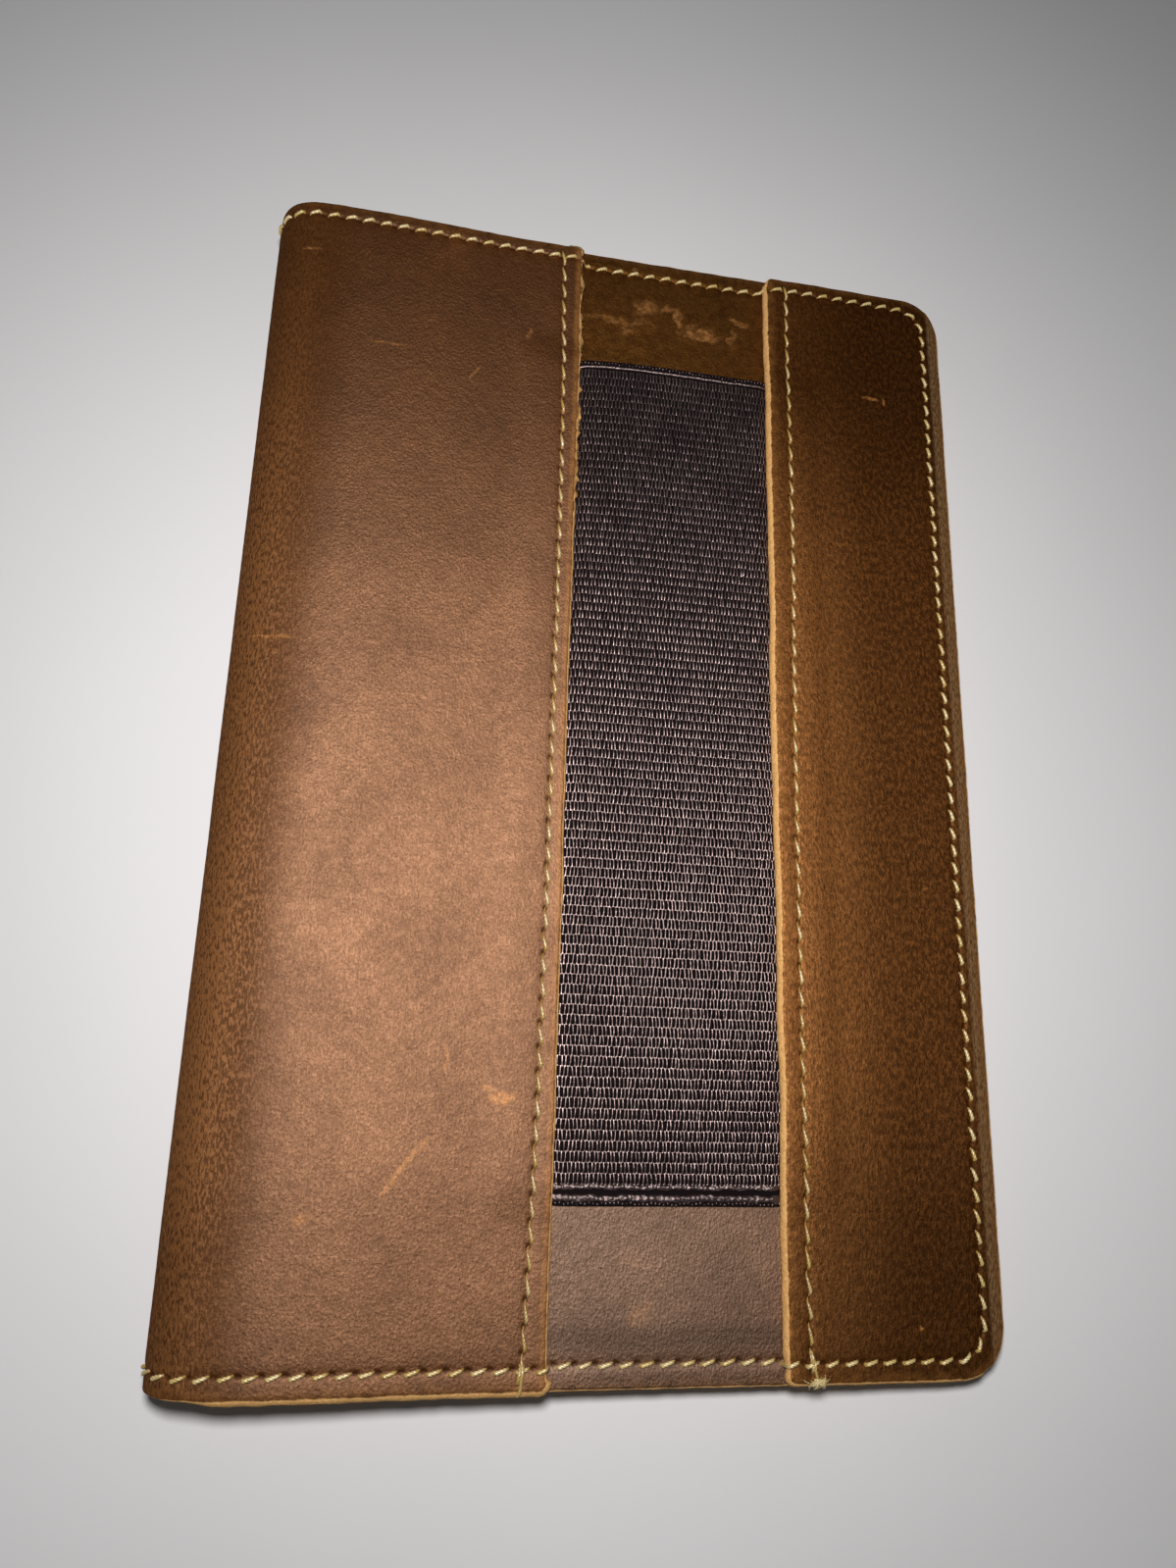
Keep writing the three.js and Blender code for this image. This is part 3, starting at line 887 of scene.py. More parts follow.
class LeatherShader(Shader):
    """Waxed leather: a very dark hide under a broad warm gloss. Its colour and the strength of its
    gloss are built up step by step, from the hide itself to the raw cut edges."""

    def __init__(self, name, tones, gloss, rubbed=RUBBED_LEATHER):
        super().__init__(name)
        self.dark, self.gloss, self.rubbed = tones[0], gloss, rubbed
        self.flat = self.attribute("flat").outputs["Vector"]
        place = self.add("SeparateXYZ", {"Vector": self.flat})
        self.s, self.y = place.outputs["X"], place.outputs["Y"]
        self.mottle = self.noise(self.flat, 0.7, 4, 0.65)
        self.speckle = self.noise(self.flat, 3.4, 3, 0.7)
        self.flecks = self.noise(self.stretched(self.flat, (3.6, 1.2, 1)), 1.0, 4, 0.65)
        self.fleck = self.fit(self.flecks, 0.54, 0.40)
        self.fleck_share = 0.4
        clouds = self.noise(self.flat, 0.09, 4, 0.6, 0.4)
        self.tone = self.weighted((clouds, 0.35), (self.mottle, 0.35), (self.speckle, 0.3))
        self.colour = self.mix(self.fit(self.tone, 0.34, 0.5), tones[0], tones[1])
        self.paint(self.fit(self.tone, 0.5, 0.66), tones[2])
        self.shine = self.fit(self.tone, 0.36, 0.64, 0.88, 1.32)
        self.dim(self.fit(self.speckle, 0.36, 0.62, 0.86, 1.12))

    def paint(self, share, colour):
        self.colour = self.mix(share, self.colour, colour)

    def dim(self, *factors):
        self.shine = self.times(self.shine, *factors)

    def worn_places(self):
        """Where use has lightened the leather: round the fold, and a little beside the right seam."""
        near_fold = self.times(
            self.band(self.s, S_FOLD_LOW - 3, S_FOLD_HIGH + 1.5, 4.5),
            self.fit(self.y, 66, 20, 0.35, 1.0),
            self.fit(self.y, -12, -34, 1.0, 1.5),
            self.fit(self.y, -48, -64, 1.0, 0.55),
        )
        beside_seam = self.times(
            self.band(self.s, S_SEAM_RIGHT - 2, S_SEAM_RIGHT + 9, 4),
            self.fit(self.y, 60, 20, 0.05, 0.36),
        )
        return self.calc("MAXIMUM", near_fold, beside_seam)

    def add_wear_and_shade(self):
        """Fold wear, and the fore-edge strip's own look: a redder leather with a nap, darker at its
        ends; with painted shade that darkens the leather and its gloss towards the fore-edge, and the
        gloss towards the strip's top.
        """
        spotted = self.worn_places()
        patchy = self.times(spotted, self.fit(self.flecks, 0.4, 0.6, 0.45, 1.15))
        self.paint(self.calc("MULTIPLY", patchy, 0.9, clamp=True), WORN_LEATHER)
        on_strip = self.fit(self.s, S_WINDOW_MID, S_EDGE_RIGHT)
        # Painted shade: the leather darkens towards the fore-edge, right of the right seam.
        self.paint(self.fit(self.s, S_SEAM_RIGHT, S_SEAM_RIGHT + 14, 0.0, 0.7), self.dark)
        nap = self.noise(self.stretched(self.flat, (1.9, 1.1, 1)), 1.0, 4, 0.7)
        self.paint(self.times(on_strip, self.fit(nap, 0.44, 0.62, 0.0, 0.5)), NAP_LIGHT)
        from_middle = self.calc("ABSOLUTE", self.calc("SUBTRACT", self.y, -4))
        at_ends = self.times(on_strip, self.fit(from_middle, 32, 64, 0.0, 0.5))
        self.paint(at_ends, NAP_DARK)
        self.dim(
            self.fit(at_ends, 0, 1, 1.0, 0.45),
            self.mix(on_strip, WHITE, self.fit(nap, 0.4, 0.6, 0.76, 1.2)),
            self.fit(self.s, S_FOLD_HIGH + 0.5, S_FOLD_HIGH + 8, 0.3, 1.0),
            # Painted shade on the gloss: weaker towards the fore-edge, and towards the top of the strip.
            self.fit(self.s, S_SEAM_RIGHT, S_SEAM_RIGHT + 14, 1.0, 0.42),
            self.fit(self.times(on_strip, self.y), 20, 62, 1.0, 0.8),
        )
        strip_gloss = tuple(g * share for g, share in zip(self.gloss, STRIP_GLOSS_SHARE)) + (1.0,)
        self.gloss = self.mix(on_strip, self.gloss, strip_gloss)
        self.fleck_share = self.fit(self.calc("MAXIMUM", spotted, on_strip), 0, 1, 0.35, 0.9)
        cut = self.band(self.s, S_EDGE_LEFT - 0.85, S_EDGE_LEFT + 3, 0.3)
        self.paint(self.times(cut, self.fit(self.mottle, 0.35, 0.6, 0.15, 0.5)), self.rubbed)

    def add_flecks(self):
        self.fleck = self.times(self.fleck, self.fleck_share)
        self.paint(self.times(self.fleck, 0.6), self.dark)
        self.dim(self.fit(self.fleck, 0, 1, 1.0, 0.75))

    def add_scuffs(self, scuffs, ragged):
        """Marks where the waxed surface is rubbed away, from a list of strokes."""
        grit = self.fit(self.noise(self.flat, 1.1, 6, 0.75), 0.42, 0.6)
        moved = self.vectors("ADD", self.flat, self.jitter(self.flat, 0.55, ragged))
        total = 0.0
        for x, y, length, width, turn, strength in scuffs:
            mark = self.stroke(moved, (skin.front(x), y), length, width, math.radians(turn))
            total = self.calc("MAXIMUM", self.times(mark, strength), total)
        self.paint(self.times(total, self.fit(grit, 0, 1, 0.3, 1.0), 0.85), self.rubbed)

    def add_backing_shade_and_band(self):
        """Above the elastic the backing's gloss is darker and warmer, painted shade on its reflection,
        and the backing is blotchy; a darker band runs along the lower seam.
        """
        above = self.fit(self.y, 28, 58)
        # Painted shade on the reflection: above the elastic the gloss is darker and warmer.
        self.gloss = self.mix(above, self.gloss, UPPER_BACKING_SHADED_GLOSS)
        # A darker band, with weaker gloss, just inside the lower seam.
        low = self.band(self.y, LOW_BAND_START, LOW_BAND_END, 1.0)
        low_band = self.times(low, self.fit(self.mottle, 0.3, 0.6, 0.4, 0.6))
        self.paint(low_band, LOW_BAND_DARK)
        self.dim(
            self.mix(above, WHITE, self.fit(self.mottle, 0.4, 0.6, 0.72, 1.2)),
            self.fit(low_band, 0, 1, 1.0, 0.6),
        )

    def add_fore_edge(self):
        """The fibrous band where the strip's edge is worn through its surface."""
        fore = self.fit(self.s, skin.length - 2.3, skin.length - 1.6)
        self.paint(self.times(fore, self.fit(self.flecks, 0.4, 0.6, 0.25, 0.85)), FIBROUS)

    def add_edges(self):
        """Burnished rims, painted shade in the needle holes, and raw cut edges."""
        edge = self.attribute("edge_distance").outputs["Fac"]
        hole = self.attribute("hole_distance").outputs["Fac"]
        burnish = self.times(self.fit(edge, 1.6, 0.3), self.fit(self.mottle, 0.35, 0.6, 0.15, 0.7))
        self.paint(burnish, self.mix(0.3, self.dark, self.rubbed))
        # Painted shade in the needle holes: darker colour and weaker gloss.
        pit_shade = self.fit(hole, 0.36, 0.1)
        self.paint(self.times(pit_shade, 0.6), PIT_SHADE)
        self.raw_share = self.attribute("raw").outputs["Fac"]
        self.fibres = self.noise(self.flat, 3.2, 4, 0.8)
        rubbed_raw = self.mix(0.5, RAW_LEATHER, self.rubbed)
        raw_tone = self.mix(self.fit(self.fibres, 0.36, 0.64), RAW_LEATHER, rubbed_raw)
        uneven = self.calc("ADD", self.raw_share, self.fit(self.mottle, 0.3, 0.7, -0.15, 0.15))
        is_raw = self.fit(uneven, 0.15, 0.5)
        self.paint(is_raw, raw_tone)
        self.dim(self.fit(pit_shade, 0, 1, 1.0, 0.35), self.fit(is_raw, 0, 1, 1.0, 0.12))

    def surface(self):
        """Fine grain, and fibres where the leather is raw."""
        pores = self.cells(self.stretched(self.flat, (2.8, 2.4, 1)), 1.0)
        parts = (self.speckle, 0.5), (pores, 0.3), (self.mottle, 0.4), (self.fleck, -0.4)
        normal = self.bump(self.weighted(*parts), 0.145, 0.7)
        normal = self.bump(self.times(self.fibres, self.raw_share), 0.25, 0.6, normal)
        body = {"Base Color": self.colour, "Roughness": 0.8, "Normal": normal, "Specular IOR Level": 0.0}
        matt = self.fit(self.tone, 0.3, 0.7, 0.59, 0.55)
        tint = self.mix(1.0, self.gloss, self.grey(self.shine), "MULTIPLY")
        return self.finish(body, {"Color": tint, "Roughness": matt, "Normal": normal})


def outer_leather_material():
    tones = rgb(44, 22, 7), rgb(64, 34, 10), rgb(84, 48, 18)
    shader = LeatherShader("outer_leather", tones, (0.154, 0.083, 0.049, 1.0))
    shader.add_wear_and_shade()
    shader.add_flecks()
    shader.add_scuffs(SCUFFS, 1.4)
    shader.add_fore_edge()
    shader.add_edges()
    return shader.surface()


def backing_leather_material():
    tones = rgb(40, 22, 8), rgb(60, 34, 12), rgb(80, 48, 20)
    shader = LeatherShader("backing_leather", tones, (0.165, 0.109, 0.08, 1.0), RUBBED_BACKING)
    shader.add_flecks()
    shader.add_scuffs(BACKING_SCUFFS, 3.4)
    shader.add_backing_shade_and_band()
    shader.add_edges()
    return shader.surface()


def lining_leather_material():
    tones = rgb(84, 54, 30), rgb(108, 70, 40), rgb(126, 84, 50)
    shader = LeatherShader("lining_leather", tones, (0.06, 0.042, 0.03, 1.0))
    shader.add_flecks()
    shader.add_edges()
    return shader.surface()


def thread_material():
    """Pale gold twisted polyester, with olive painted shade between its plies and where it dips into its
    holes.
    """
    shader = Shader("thread")
    tone = shader.attribute("tone").outputs["Fac"]
    flat = shader.attribute("flat").outputs["Vector"]
    soil = shader.attribute("soil").outputs["Fac"]
    fuzz = shader.noise(flat, 9.0, 3, 0.6)
    colour = shader.mix(shader.fit(tone, 0, 1), rgb(218, 192, 116), rgb(240, 222, 164))
    colour = shader.mix(shader.fit(fuzz, 0.35, 0.65, 0.0, 0.25), colour, rgb(196, 160, 84))
    # Painted olive shade where the thread dips into its holes and between its plies, and a flat olive
    # tint on the loose ends.
    colour = shader.mix(shader.times(soil, 0.85), colour, rgb(150, 106, 32))
    normal = shader.bump(fuzz, 0.05, 0.5)
    return shader.finish({
        "Base Color": colour,
        "Roughness": 0.34,
        "Normal": normal,
        "Specular IOR Level": 1.0,
        "IOR": 1.7,
    })


def elastic_material():
    """Woven elastic: dusty brown-violet yarns over a ground that is partly the elastic's own dark
    colour, deepened to near-black as painted shade in the gaps between the yarns.
    """
    shader = Shader("elastic")
    flat = shader.attribute("flat").outputs["Vector"]
    yarn = shader.attribute("yarn").outputs["Fac"]
    tone = shader.attribute("tone").outputs["Fac"]
    strands = shader.noise(shader.stretched(flat, (12, 2.5, 6)), 1.0, 3, 0.6)
    dust = shader.fit(shader.noise(flat, 0.12, 4, 0.6), 0.35, 0.75)
    colour = shader.mix(shader.fit(tone, 0, 1), rgb(34, 26, 27), rgb(56, 45, 45))
    colour = shader.mix(shader.fit(strands, 0.35, 0.65, 0.0, 0.6), colour, rgb(32, 24, 25))
    colour = shader.mix(shader.times(dust, 0.08), colour, rgb(170, 152, 140))
    # Painted shade: the ground between the yarns is near-black.
    colour = shader.mix(yarn, rgb(18, 10, 12), colour)
    normal = shader.bump(strands, 0.06, 0.5)
    shine = shader.times(yarn, yarn, shader.fit(strands, 0.35, 0.65, 1.3, 0.5))
    tint = shader.mix(1.0, (0.32, 0.24, 0.225, 1.0), shader.grey(shine), "MULTIPLY")
    body = {"Base Color": colour, "Roughness": 0.9, "Normal": normal, "Specular IOR Level": 0.1}
    return shader.finish(body, {"Color": tint, "Roughness": 0.44, "Normal": normal})


def floor_material():
    shader = Shader("floor")
    place = shader.add("TexCoord", {}).outputs["Object"]
    soft = shader.noise(place, 9.0, 3, 0.5)
    pale = shader.mix(shader.fit(soft, 0.3, 0.7), rgb(223, 222, 223), rgb(227, 226, 227))
    return shader.finish({"Base Color": pale, "Roughness": 0.85, "Specular IOR Level": 0.2})


outer_leather = outer_leather_material()
backing_leather = backing_leather_material()
lining_leather = lining_leather_material()
thread = thread_material()
elastic = elastic_material()


# ---------------------------------------------------------------- building the leather
def level(depth):
    """A face that lies at one depth everywhere."""
    return lambda s: depth + 0 * s


skin_top, skin_base = level(0), level(SHELL)
backing_top, backing_base = level(BACKING_DEPTH), level(BACKING_DEPTH + BACKING_THICKNESS)
back_pocket_top, back_pocket_base = level(back_pocket_low[2]), level(back_pocket_high[2])


def strip_slant(s, y):
    """The knife's sloping cut down both long sides of the fore-edge strip, and across its ends."""
    at_end = np.abs(y) > HALF_HEIGHT - 1.2
    left = 0.55 * smooth((y + HALF_HEIGHT - 0.3) / 3) * (s < S_EDGE_RIGHT + 1.5)
    right = 0.45 * (s > skin.length - 2.5)
    return np.where(at_end, 0.4 * (y < 0), left + right)


def front_slant(s, y):
    """The sloping cut along the front's lower edge, fading out towards the fold."""
    low_end = (y < 1.2 - HALF_HEIGHT) * smooth((s - S_FOLD_HIGH + 2) / 6)
    return 0.9 * low_end + 0.1 * (s > S_EDGE_LEFT - 1)


def build_leather():
    outer = outer_leather, "outer_leather"
    lining = lining_leather, "lining_leather"
    back = Layer(0, S_FOLD_MID, skin_top, skin_base, [edge_seam], round_low=True, open_high=True)
    front = Layer(
        S_FOLD_MID, S_EDGE_LEFT, skin_top, skin_base, [edge_seam, left_seam], open_low=True,
        lifted=True, wander=0.1, nibs=0.9, slant=front_slant, seed=4,
    )
    strip = Layer(
        S_EDGE_RIGHT, skin.length, skin_top, skin_base, [edge_seam, right_seam], round_high=True,
        lifted=True, wander=0.16, slant=strip_slant, droop=FORE_EDGE_DROOP, seed=7,
    )
    backing = Layer(
        skin.front(BACKING_LEFT), skin.front(BACKING_RIGHT), backing_top, backing_base, [edge_seam],
        trim=-0.5, seed=9,
    )
    pocket = Layer(
        skin.front(POCKET_MOUTH), skin.length, pocket_top, pocket_base, [edge_seam], grain_out=False,
        round_high=True, trim=0.1, edge_round=0.35, droop=FORE_EDGE_DROOP, seed=12,
    )
    back_pocket = Layer(
        0, skin.back(POCKET_MOUTH), back_pocket_top, back_pocket_base, [edge_seam], grain_out=False,
        round_low=True, trim=0.15, edge_round=0.35, seed=15,
    )
    return {
        "back": back.build("outer_leather_back", *outer),
        "front": front.build("outer_leather_front", *outer),
        "strip": strip.build("fore_edge_leather", *outer),
        "backing": backing.build("window_backing_leather", backing_leather, "backing_leather"),
        "pocket": pocket.build("front_pocket_leather", *lining),
        "back_pocket": back_pocket.build("back_pocket_leather", *lining),
    }


# ---------------------------------------------------------------- building the thread
def in_back(points):
    return points[:, 0] < S_FOLD_MID


def in_front(points):
    return points[:, 0] >= S_FOLD_MID


def add_window_stitches(tubes, seam, outside, seed):
    """A window seam's stitches, raised with the panel over the elastic's sewn end."""
    place = seam.path[0, 0]
    first = np.arange(seam.count)
    middle = seam.at((first + 0.5) * seam.pitch)
    raised = over_elastic(np.full(len(first), place), middle[:, 1])
    if not outside:
        add_stitches(tubes, seam, backing_base, None, False, seed)
        return
    heights = np.round(raised, 2)
    for height in np.unique(heights):
        add_stitches(tubes, seam, level(-height), lambda _: heights == height, True, seed, 1.0)


# The loose ends at the window seams' lower ends, each as its radius and the points it runs through,
# which are given from its seam and the cover's lower edge.
LEFT_ENDS = [
    (0.19, [(0.1, 2.9, -0.2), (-0.05, 2.2, 0.3), (-0.2, 1.4, 0.28), (-0.22, 0.8, -0.2)]),
    (0.19, [(0.3, 2.9, -0.2), (0.26, 2.2, 0.34), (0.14, 1.3, 0.3), (0.1, 0.5, 0.14),
            (-0.02, 0.0, 0.05), (-0.3, -0.4, -0.2)]),
]
RIGHT_ENDS = [
    (0.17, [(-0.1, 3.7, -0.2), (-0.02, 3.1, 0.24), (0.04, 2.3, 0.26), (0.02, 1.8, -0.2)]),
    (0.15, [(0.2, 2.9, -0.2), (0.3, 2.3, 0.24), (0.3, 1.6, 0.24), (0.42, 1.1, 0.2), (0.6, 0.7, 0.1)]),
]


def add_tuft(tubes, x, low):
    """The frayed fibres where the right seam's thread was cut."""
    for k in range(TUFT_FIBRES):
        turn = math.radians(-170 + 200 * hashed(k, 3, 4))
        tip = turn + 1.2 * (hashed(k, 7, 2) - 0.4)
        reach = 0.6 + 0.9 * hashed(k, 1, 2)
        s, y = x + 0.1 + 0.8 * hashed(k, 5, 5), low + 0.75 - 0.45 * hashed(k, 6, 5)
        bend = (s + 0.5 * reach * math.cos(turn), y + 0.35 * reach * math.sin(turn), 0.42)
        end = (s + reach * math.cos(tip), y + 0.7 * reach * math.sin(tip), 0.5 * hashed(k, 4, 6) - 0.25)
        radius, tone = 0.028 + 0.028 * hashed(k, 8, 1), hashed(k, 2, 3)
        points = [(s, y, 0.1), bend, end]
        add_strand(tubes, points, radius, lobes=0.0, sides=5, tone=tone, steps=12, soil=0.15)


def add_thread_ends(tubes):
    low = -HALF_HEIGHT
    for x, strands in ((S_SEAM_LEFT, LEFT_ENDS), (S_SEAM_RIGHT, RIGHT_ENDS)):
        for radius, points in strands:
            add_strand(tubes, [(x + across, low + up, height) for across, up, height in points], radius)
    add_tuft(tubes, S_SEAM_RIGHT, low)


def sewn(name, add, *how):
    """One mesh of thread, filled by the function given."""
    tubes = Tubes()
    add(tubes, *how)
    return tubes.build(name, thread, "thread")


def build_thread():
    pieces = {}
    for name, keep in (("back", in_back), ("front", in_front)):
        outer = edge_seam, needle_depth, keep, True, 1
        under = edge_seam, bobbin_depth, keep, False, 2
        pieces["outer_" + name] = sewn("edge_stitches_" + name, add_stitches, *outer)
        pieces["under_" + name] = sewn("edge_under_stitches_" + name, add_stitches, *under)
    for name, seam, seed in (("left", left_seam, 3), ("right", right_seam, 4)):
        mesh_name = "window_stitches_" + name
        pieces["window_" + name] = sewn(mesh_name, add_window_stitches, seam, True, seed)
        mesh_name = "window_under_stitches_" + name
        pieces["window_under_" + name] = sewn(mesh_name, add_window_stitches, seam, False, seed + 2)
    pieces["ends"] = sewn("thread_ends", add_thread_ends)
    return pieces


# ---------------------------------------------------------------- building the elastic
ELASTIC_SEWN_TOP = 1.14
ELASTIC_FREE_TOP = 0.78
ELASTIC_BASE = 1.56
SAG = 0.7
SAG_REACH = 12
TOP_EDGE, TOP_CORD, TOP_GROOVE = 0.8, 0.36, 0.45
LOW_EDGE, LOW_CORD, LOW_GROOVE, LOW_FUZZ = 0.4, 0.8, 0.55, 0.6
RIBS_BOTTOM = ELASTIC_BOTTOM + LOW_EDGE + LOW_CORD + LOW_GROOVE + LOW_FUZZ
RIBS_TOP = ELASTIC_TOP - TOP_EDGE - TOP_CORD - TOP_GROOVE
RIB_COUNT = int(round((RIBS_TOP - RIBS_BOTTOM) / RIB))
RIB_STEP = (RIBS_TOP - RIBS_BOTTOM) / RIB_COUNT
RIB_HEIGHT = 0.1
GROUND_DEPTH = 0.38
EDGE_DEPTH = 0.12
ACROSS_YARN = np.radians([-85, -42, 0, 42, 85])
CORD_TONE = 0.9
CORDS = [
    # middle, half its width, height, bumpiness, how much its yarn shows
    (ELASTIC_TOP - TOP_EDGE - TOP_CORD / 2, TOP_CORD / 2, 0.2, 0.15, 0.9),
    (ELASTIC_BOTTOM + LOW_EDGE + LOW_CORD / 2, LOW_CORD / 2, 0.2, 0.34, 0.6),
    (RIBS_BOTTOM - LOW_FUZZ / 2, LOW_FUZZ / 2, 0.16, 0.36, 0.7),
]


def free_share(s):
    """0 where the elastic is sewn down under a panel, 1 in the open window."""
    inside = np.minimum(s - S_EDGE_LEFT, S_EDGE_RIGHT - s)
    return smooth((inside + 0.2) / 1.8)


def elastic_top(s):
    return ELASTIC_SEWN_TOP + (ELASTIC_FREE_TOP - ELASTIC_SEWN_TOP) * free_share(s)


def springy(s):
    """How much of its height the weave keeps: all in the window, a third under the panels."""
    return 0.35 + 0.65 * free_share(s)


def on_map(s, y):
    return np.stack([s, y, 0 * s], -1)


def elastic_at(s, y, rise):
    """Points a height over the elastic's top face, whose upper left corner sags a little."""
    near_left = 1 - np.clip((s - S_EDGE_LEFT) / SAG_REACH, 0, 1)
    sag = SAG * near_left**2 * smooth(y / ELASTIC_TOP)
    return skin.at(s, y - sag, elastic_top(s) - rise * springy(s))


def ground_height(y):
    """The rounded ribs of the elastic's ground, and its plain selvages."""
    inside = (y > RIBS_BOTTOM) & (y < RIBS_TOP)
    at_edge = (y > ELASTIC_TOP - TOP_EDGE + 0.05) | (y < ELASTIC_BOTTOM + LOW_EDGE - 0.05)
    rib = RIB_HEIGHT * np.cos(2 * math.pi * (y - RIBS_BOTTOM) / RIB_STEP - math.pi)
    selvage = np.where(at_edge, -EDGE_DEPTH, -0.12 - GROUND_DEPTH)
    return np.where(inside, rib - RIB_HEIGHT - GROUND_DEPTH, selvage)


def elastic_ground(name, low, high):
    """The elastic's body between two places on the map, as a closed sheet with ribs on top."""
    columns = np.linspace(low, high, int((high - low) / 0.6) + 1)
    rows = np.linspace(ELASTIC_BOTTOM, ELASTIC_TOP, int((ELASTIC_TOP - ELASTIC_BOTTOM) / 0.17))
    s, y = np.meshgrid(columns, rows)
    top = elastic_at(s, y, ground_height(y)).reshape(-1, 3)
    base = elastic_at(s, y, (elastic_top(s) - ELASTIC_BASE) / springy(s)).reshape(-1, 3)
    count, width = s.size, len(columns)
    upper = grid_quads(0, len(rows), width)
    faces = upper.tolist() + (upper[:, ::-1] + count).tolist()
    grid = np.arange(count).reshape(s.shape)
    rim = np.concatenate([grid[0, :-1], grid[:-1, -1], grid[-1, :0:-1], grid[:0:-1, 0]])
    after = np.roll(rim, -1)
    faces += np.stack([rim, rim + count, after + count, after], -1).tolist()
    flat = on_map(s, y).reshape(-1, 3)
    attributes = {
        "flat": np.concatenate([flat, flat]),
        # 0 on the ground's top, which the elastic material paints near-black as painted shade between
        # the yarns.
        "yarn": np.concatenate([np.zeros(count), np.full(count, 0.5)]),
        "tone": np.zeros(2 * count),
    }
    return make_mesh(name, np.concatenate([top, base]), faces, attributes, elastic)


def add_yarns(parts, low, high):
    """Yarns passing over each rib, staggered from rib to rib, whose spread ends meet in scallops."""
    t = np.sin(np.linspace(-1, 1, 13) * math.pi / 2)
    columns = np.arange(int((S_EDGE_RIGHT - S_EDGE_LEFT) / YARN_PITCH) + 4)
    rows = np.arange(RIB_COUNT)
    k, j = [a.ravel() for a in np.meshgrid(columns, rows)]
    place = S_EDGE_LEFT - YARN_PITCH + (k + 0.5 * (j % 2)) * YARN_PITCH
    place = place + shaken(0.07, k, j, 1) + 0.12 * ripple(k * 0.6, j * 1.2, 9, 2)
    chosen = (place >= low) & (place < high)
    k, j, place = k[chosen], j[chosen], place[chosen]
    y = RIBS_BOTTOM + (j + 0.5) * RIB_STEP + shaken(0.05, k, j, 2)
    lean = shaken(0.07, k, j, 3)
    mid = 0.2 + shaken(0.06, k, j, 4)
    tight = smooth((y + 20) / 45)[:, None]
    spread = 0.185 - 0.125 * tight
    half = 0.055 + 0.035 * tight + spread * np.abs(t) ** 8 + 0.03 * hashed(k, j, 7)[:, None]
    s = place[:, None] + lean[:, None] * t
    ys = y[:, None] + t * 0.52 * RIB_STEP
    rise = 0.5 * mid[:, None] * (1 - t**2) - 0.08
    ps = s[..., None] + half[..., None] * np.sin(ACROSS_YARN)
    py = ys[..., None] + 0 * ps
    up = rise[..., None] + 0.1 * np.cos(ACROSS_YARN)
    parts.append((elastic_at(ps, py, up), on_map(ps, py), hashed(k, j, 6), 1.0))


def add_cord(parts, low, high, y, half, rise, bumps, share):
    """A selvage cord running along the elastic's edge, bumpy where it is fuzzy."""
    s = np.linspace(low, high, int((high - low) / 0.1) + 2)
    turn = np.radians(np.linspace(-90, 90, 9))
    wide = half * (1 + bumps * ripple(s, 0 * s + y, 0.33, 4))
    ps = s[:, None] + 0 * turn
    py = y + 0.3 * bumps * ripple(s, 0 * s + y, 1.3, 5)[:, None] + wide[:, None] * np.sin(turn)
    lumps = bumps * 0.3 * ripple(ps, py, 0.22, 6)
    up = rise + (0.22 + lumps) * np.cos(turn) - GROUND_DEPTH
    points, flat = elastic_at(ps, py, up), on_map(ps, py)
    parts.append((points[None, :, ::-1], flat[None, :, ::-1], np.array([CORD_TONE]), share))


def add_beads(parts, y, low, high, seed):
    """Small flecks of yarn showing along the elastic's very edge."""
    place = np.arange(S_EDGE_LEFT - 1, S_EDGE_RIGHT + 1, YARN_PITCH)
    place = place[(place >= low) & (place < high)]
    t = np.linspace(-1, 1, 6)
    dome = np.sqrt(np.maximum(1 - t**2, 0))[:, None]
    k = np.arange(len(place))
    size = (0.06 + 0.07 * hashed(k, 2, seed))[:, None, None]
    ps = place[:, None, None] + size * (dome + 0.1) * np.sin(ACROSS_YARN)
    middle = y + shaken(0.16, k, 1, seed)[:, None, None]
    py = middle + (t * 1.6)[:, None] * size + 0 * ps
    up = 1.3 * size * dome * np.cos(ACROSS_YARN) - 0.03 - EDGE_DEPTH
    parts.append((elastic_at(ps, py, up), on_map(ps, py), hashed(k, 5, seed), 0.8))


def strips_mesh(name, parts):
    """One mesh from strips of points stored as [strip, along, across]."""
    points, faces, flats, tones, yarns, total = [], [], [], [], [], 0
    for places, flat, tone, share in parts:
        count, along, across = places.shape[:3]
        faces += grid_quads(total + np.arange(count) * along * across, along, across).tolist()
        points.append(places.reshape(-1, 3))
        flats.append(flat.reshape(-1, 3))
        tones.append(np.repeat(tone, along * across))
        yarns.append(np.full(count * along * across, share))
        total += count * along * across
    attributes = {
        "flat": np.concatenate(flats),
        "yarn": np.concatenate(yarns),
        "tone": np.concatenate(tones),
    }
    return make_mesh(name, np.concatenate(points), faces, attributes, elastic)


def build_elastic():
    pieces = {}
    spans = {"left": (S_ELASTIC_LEFT, S_WINDOW_MID), "right": (S_WINDOW_MID, S_ELASTIC_RIGHT)}
    for side, (low, high) in spans.items():
        ground = elastic_ground("elastic_" + side, low, high)
        parts = []
        add_yarns(parts, low, high)
        near, far = (S_EDGE_LEFT - 1, high) if side == "left" else (low, S_EDGE_RIGHT + 1)
        add_beads(parts, ELASTIC_TOP - 0.3, near, far, 9)
        add_beads(parts, ELASTIC_BOTTOM + 0.2, near, far, 11)
        for cord in CORDS:
            add_cord(parts, near, far, *cord)
        yarns = strips_mesh("elastic_yarns_" + side, parts)
        pieces[side] = (ground, yarns)
    return pieces


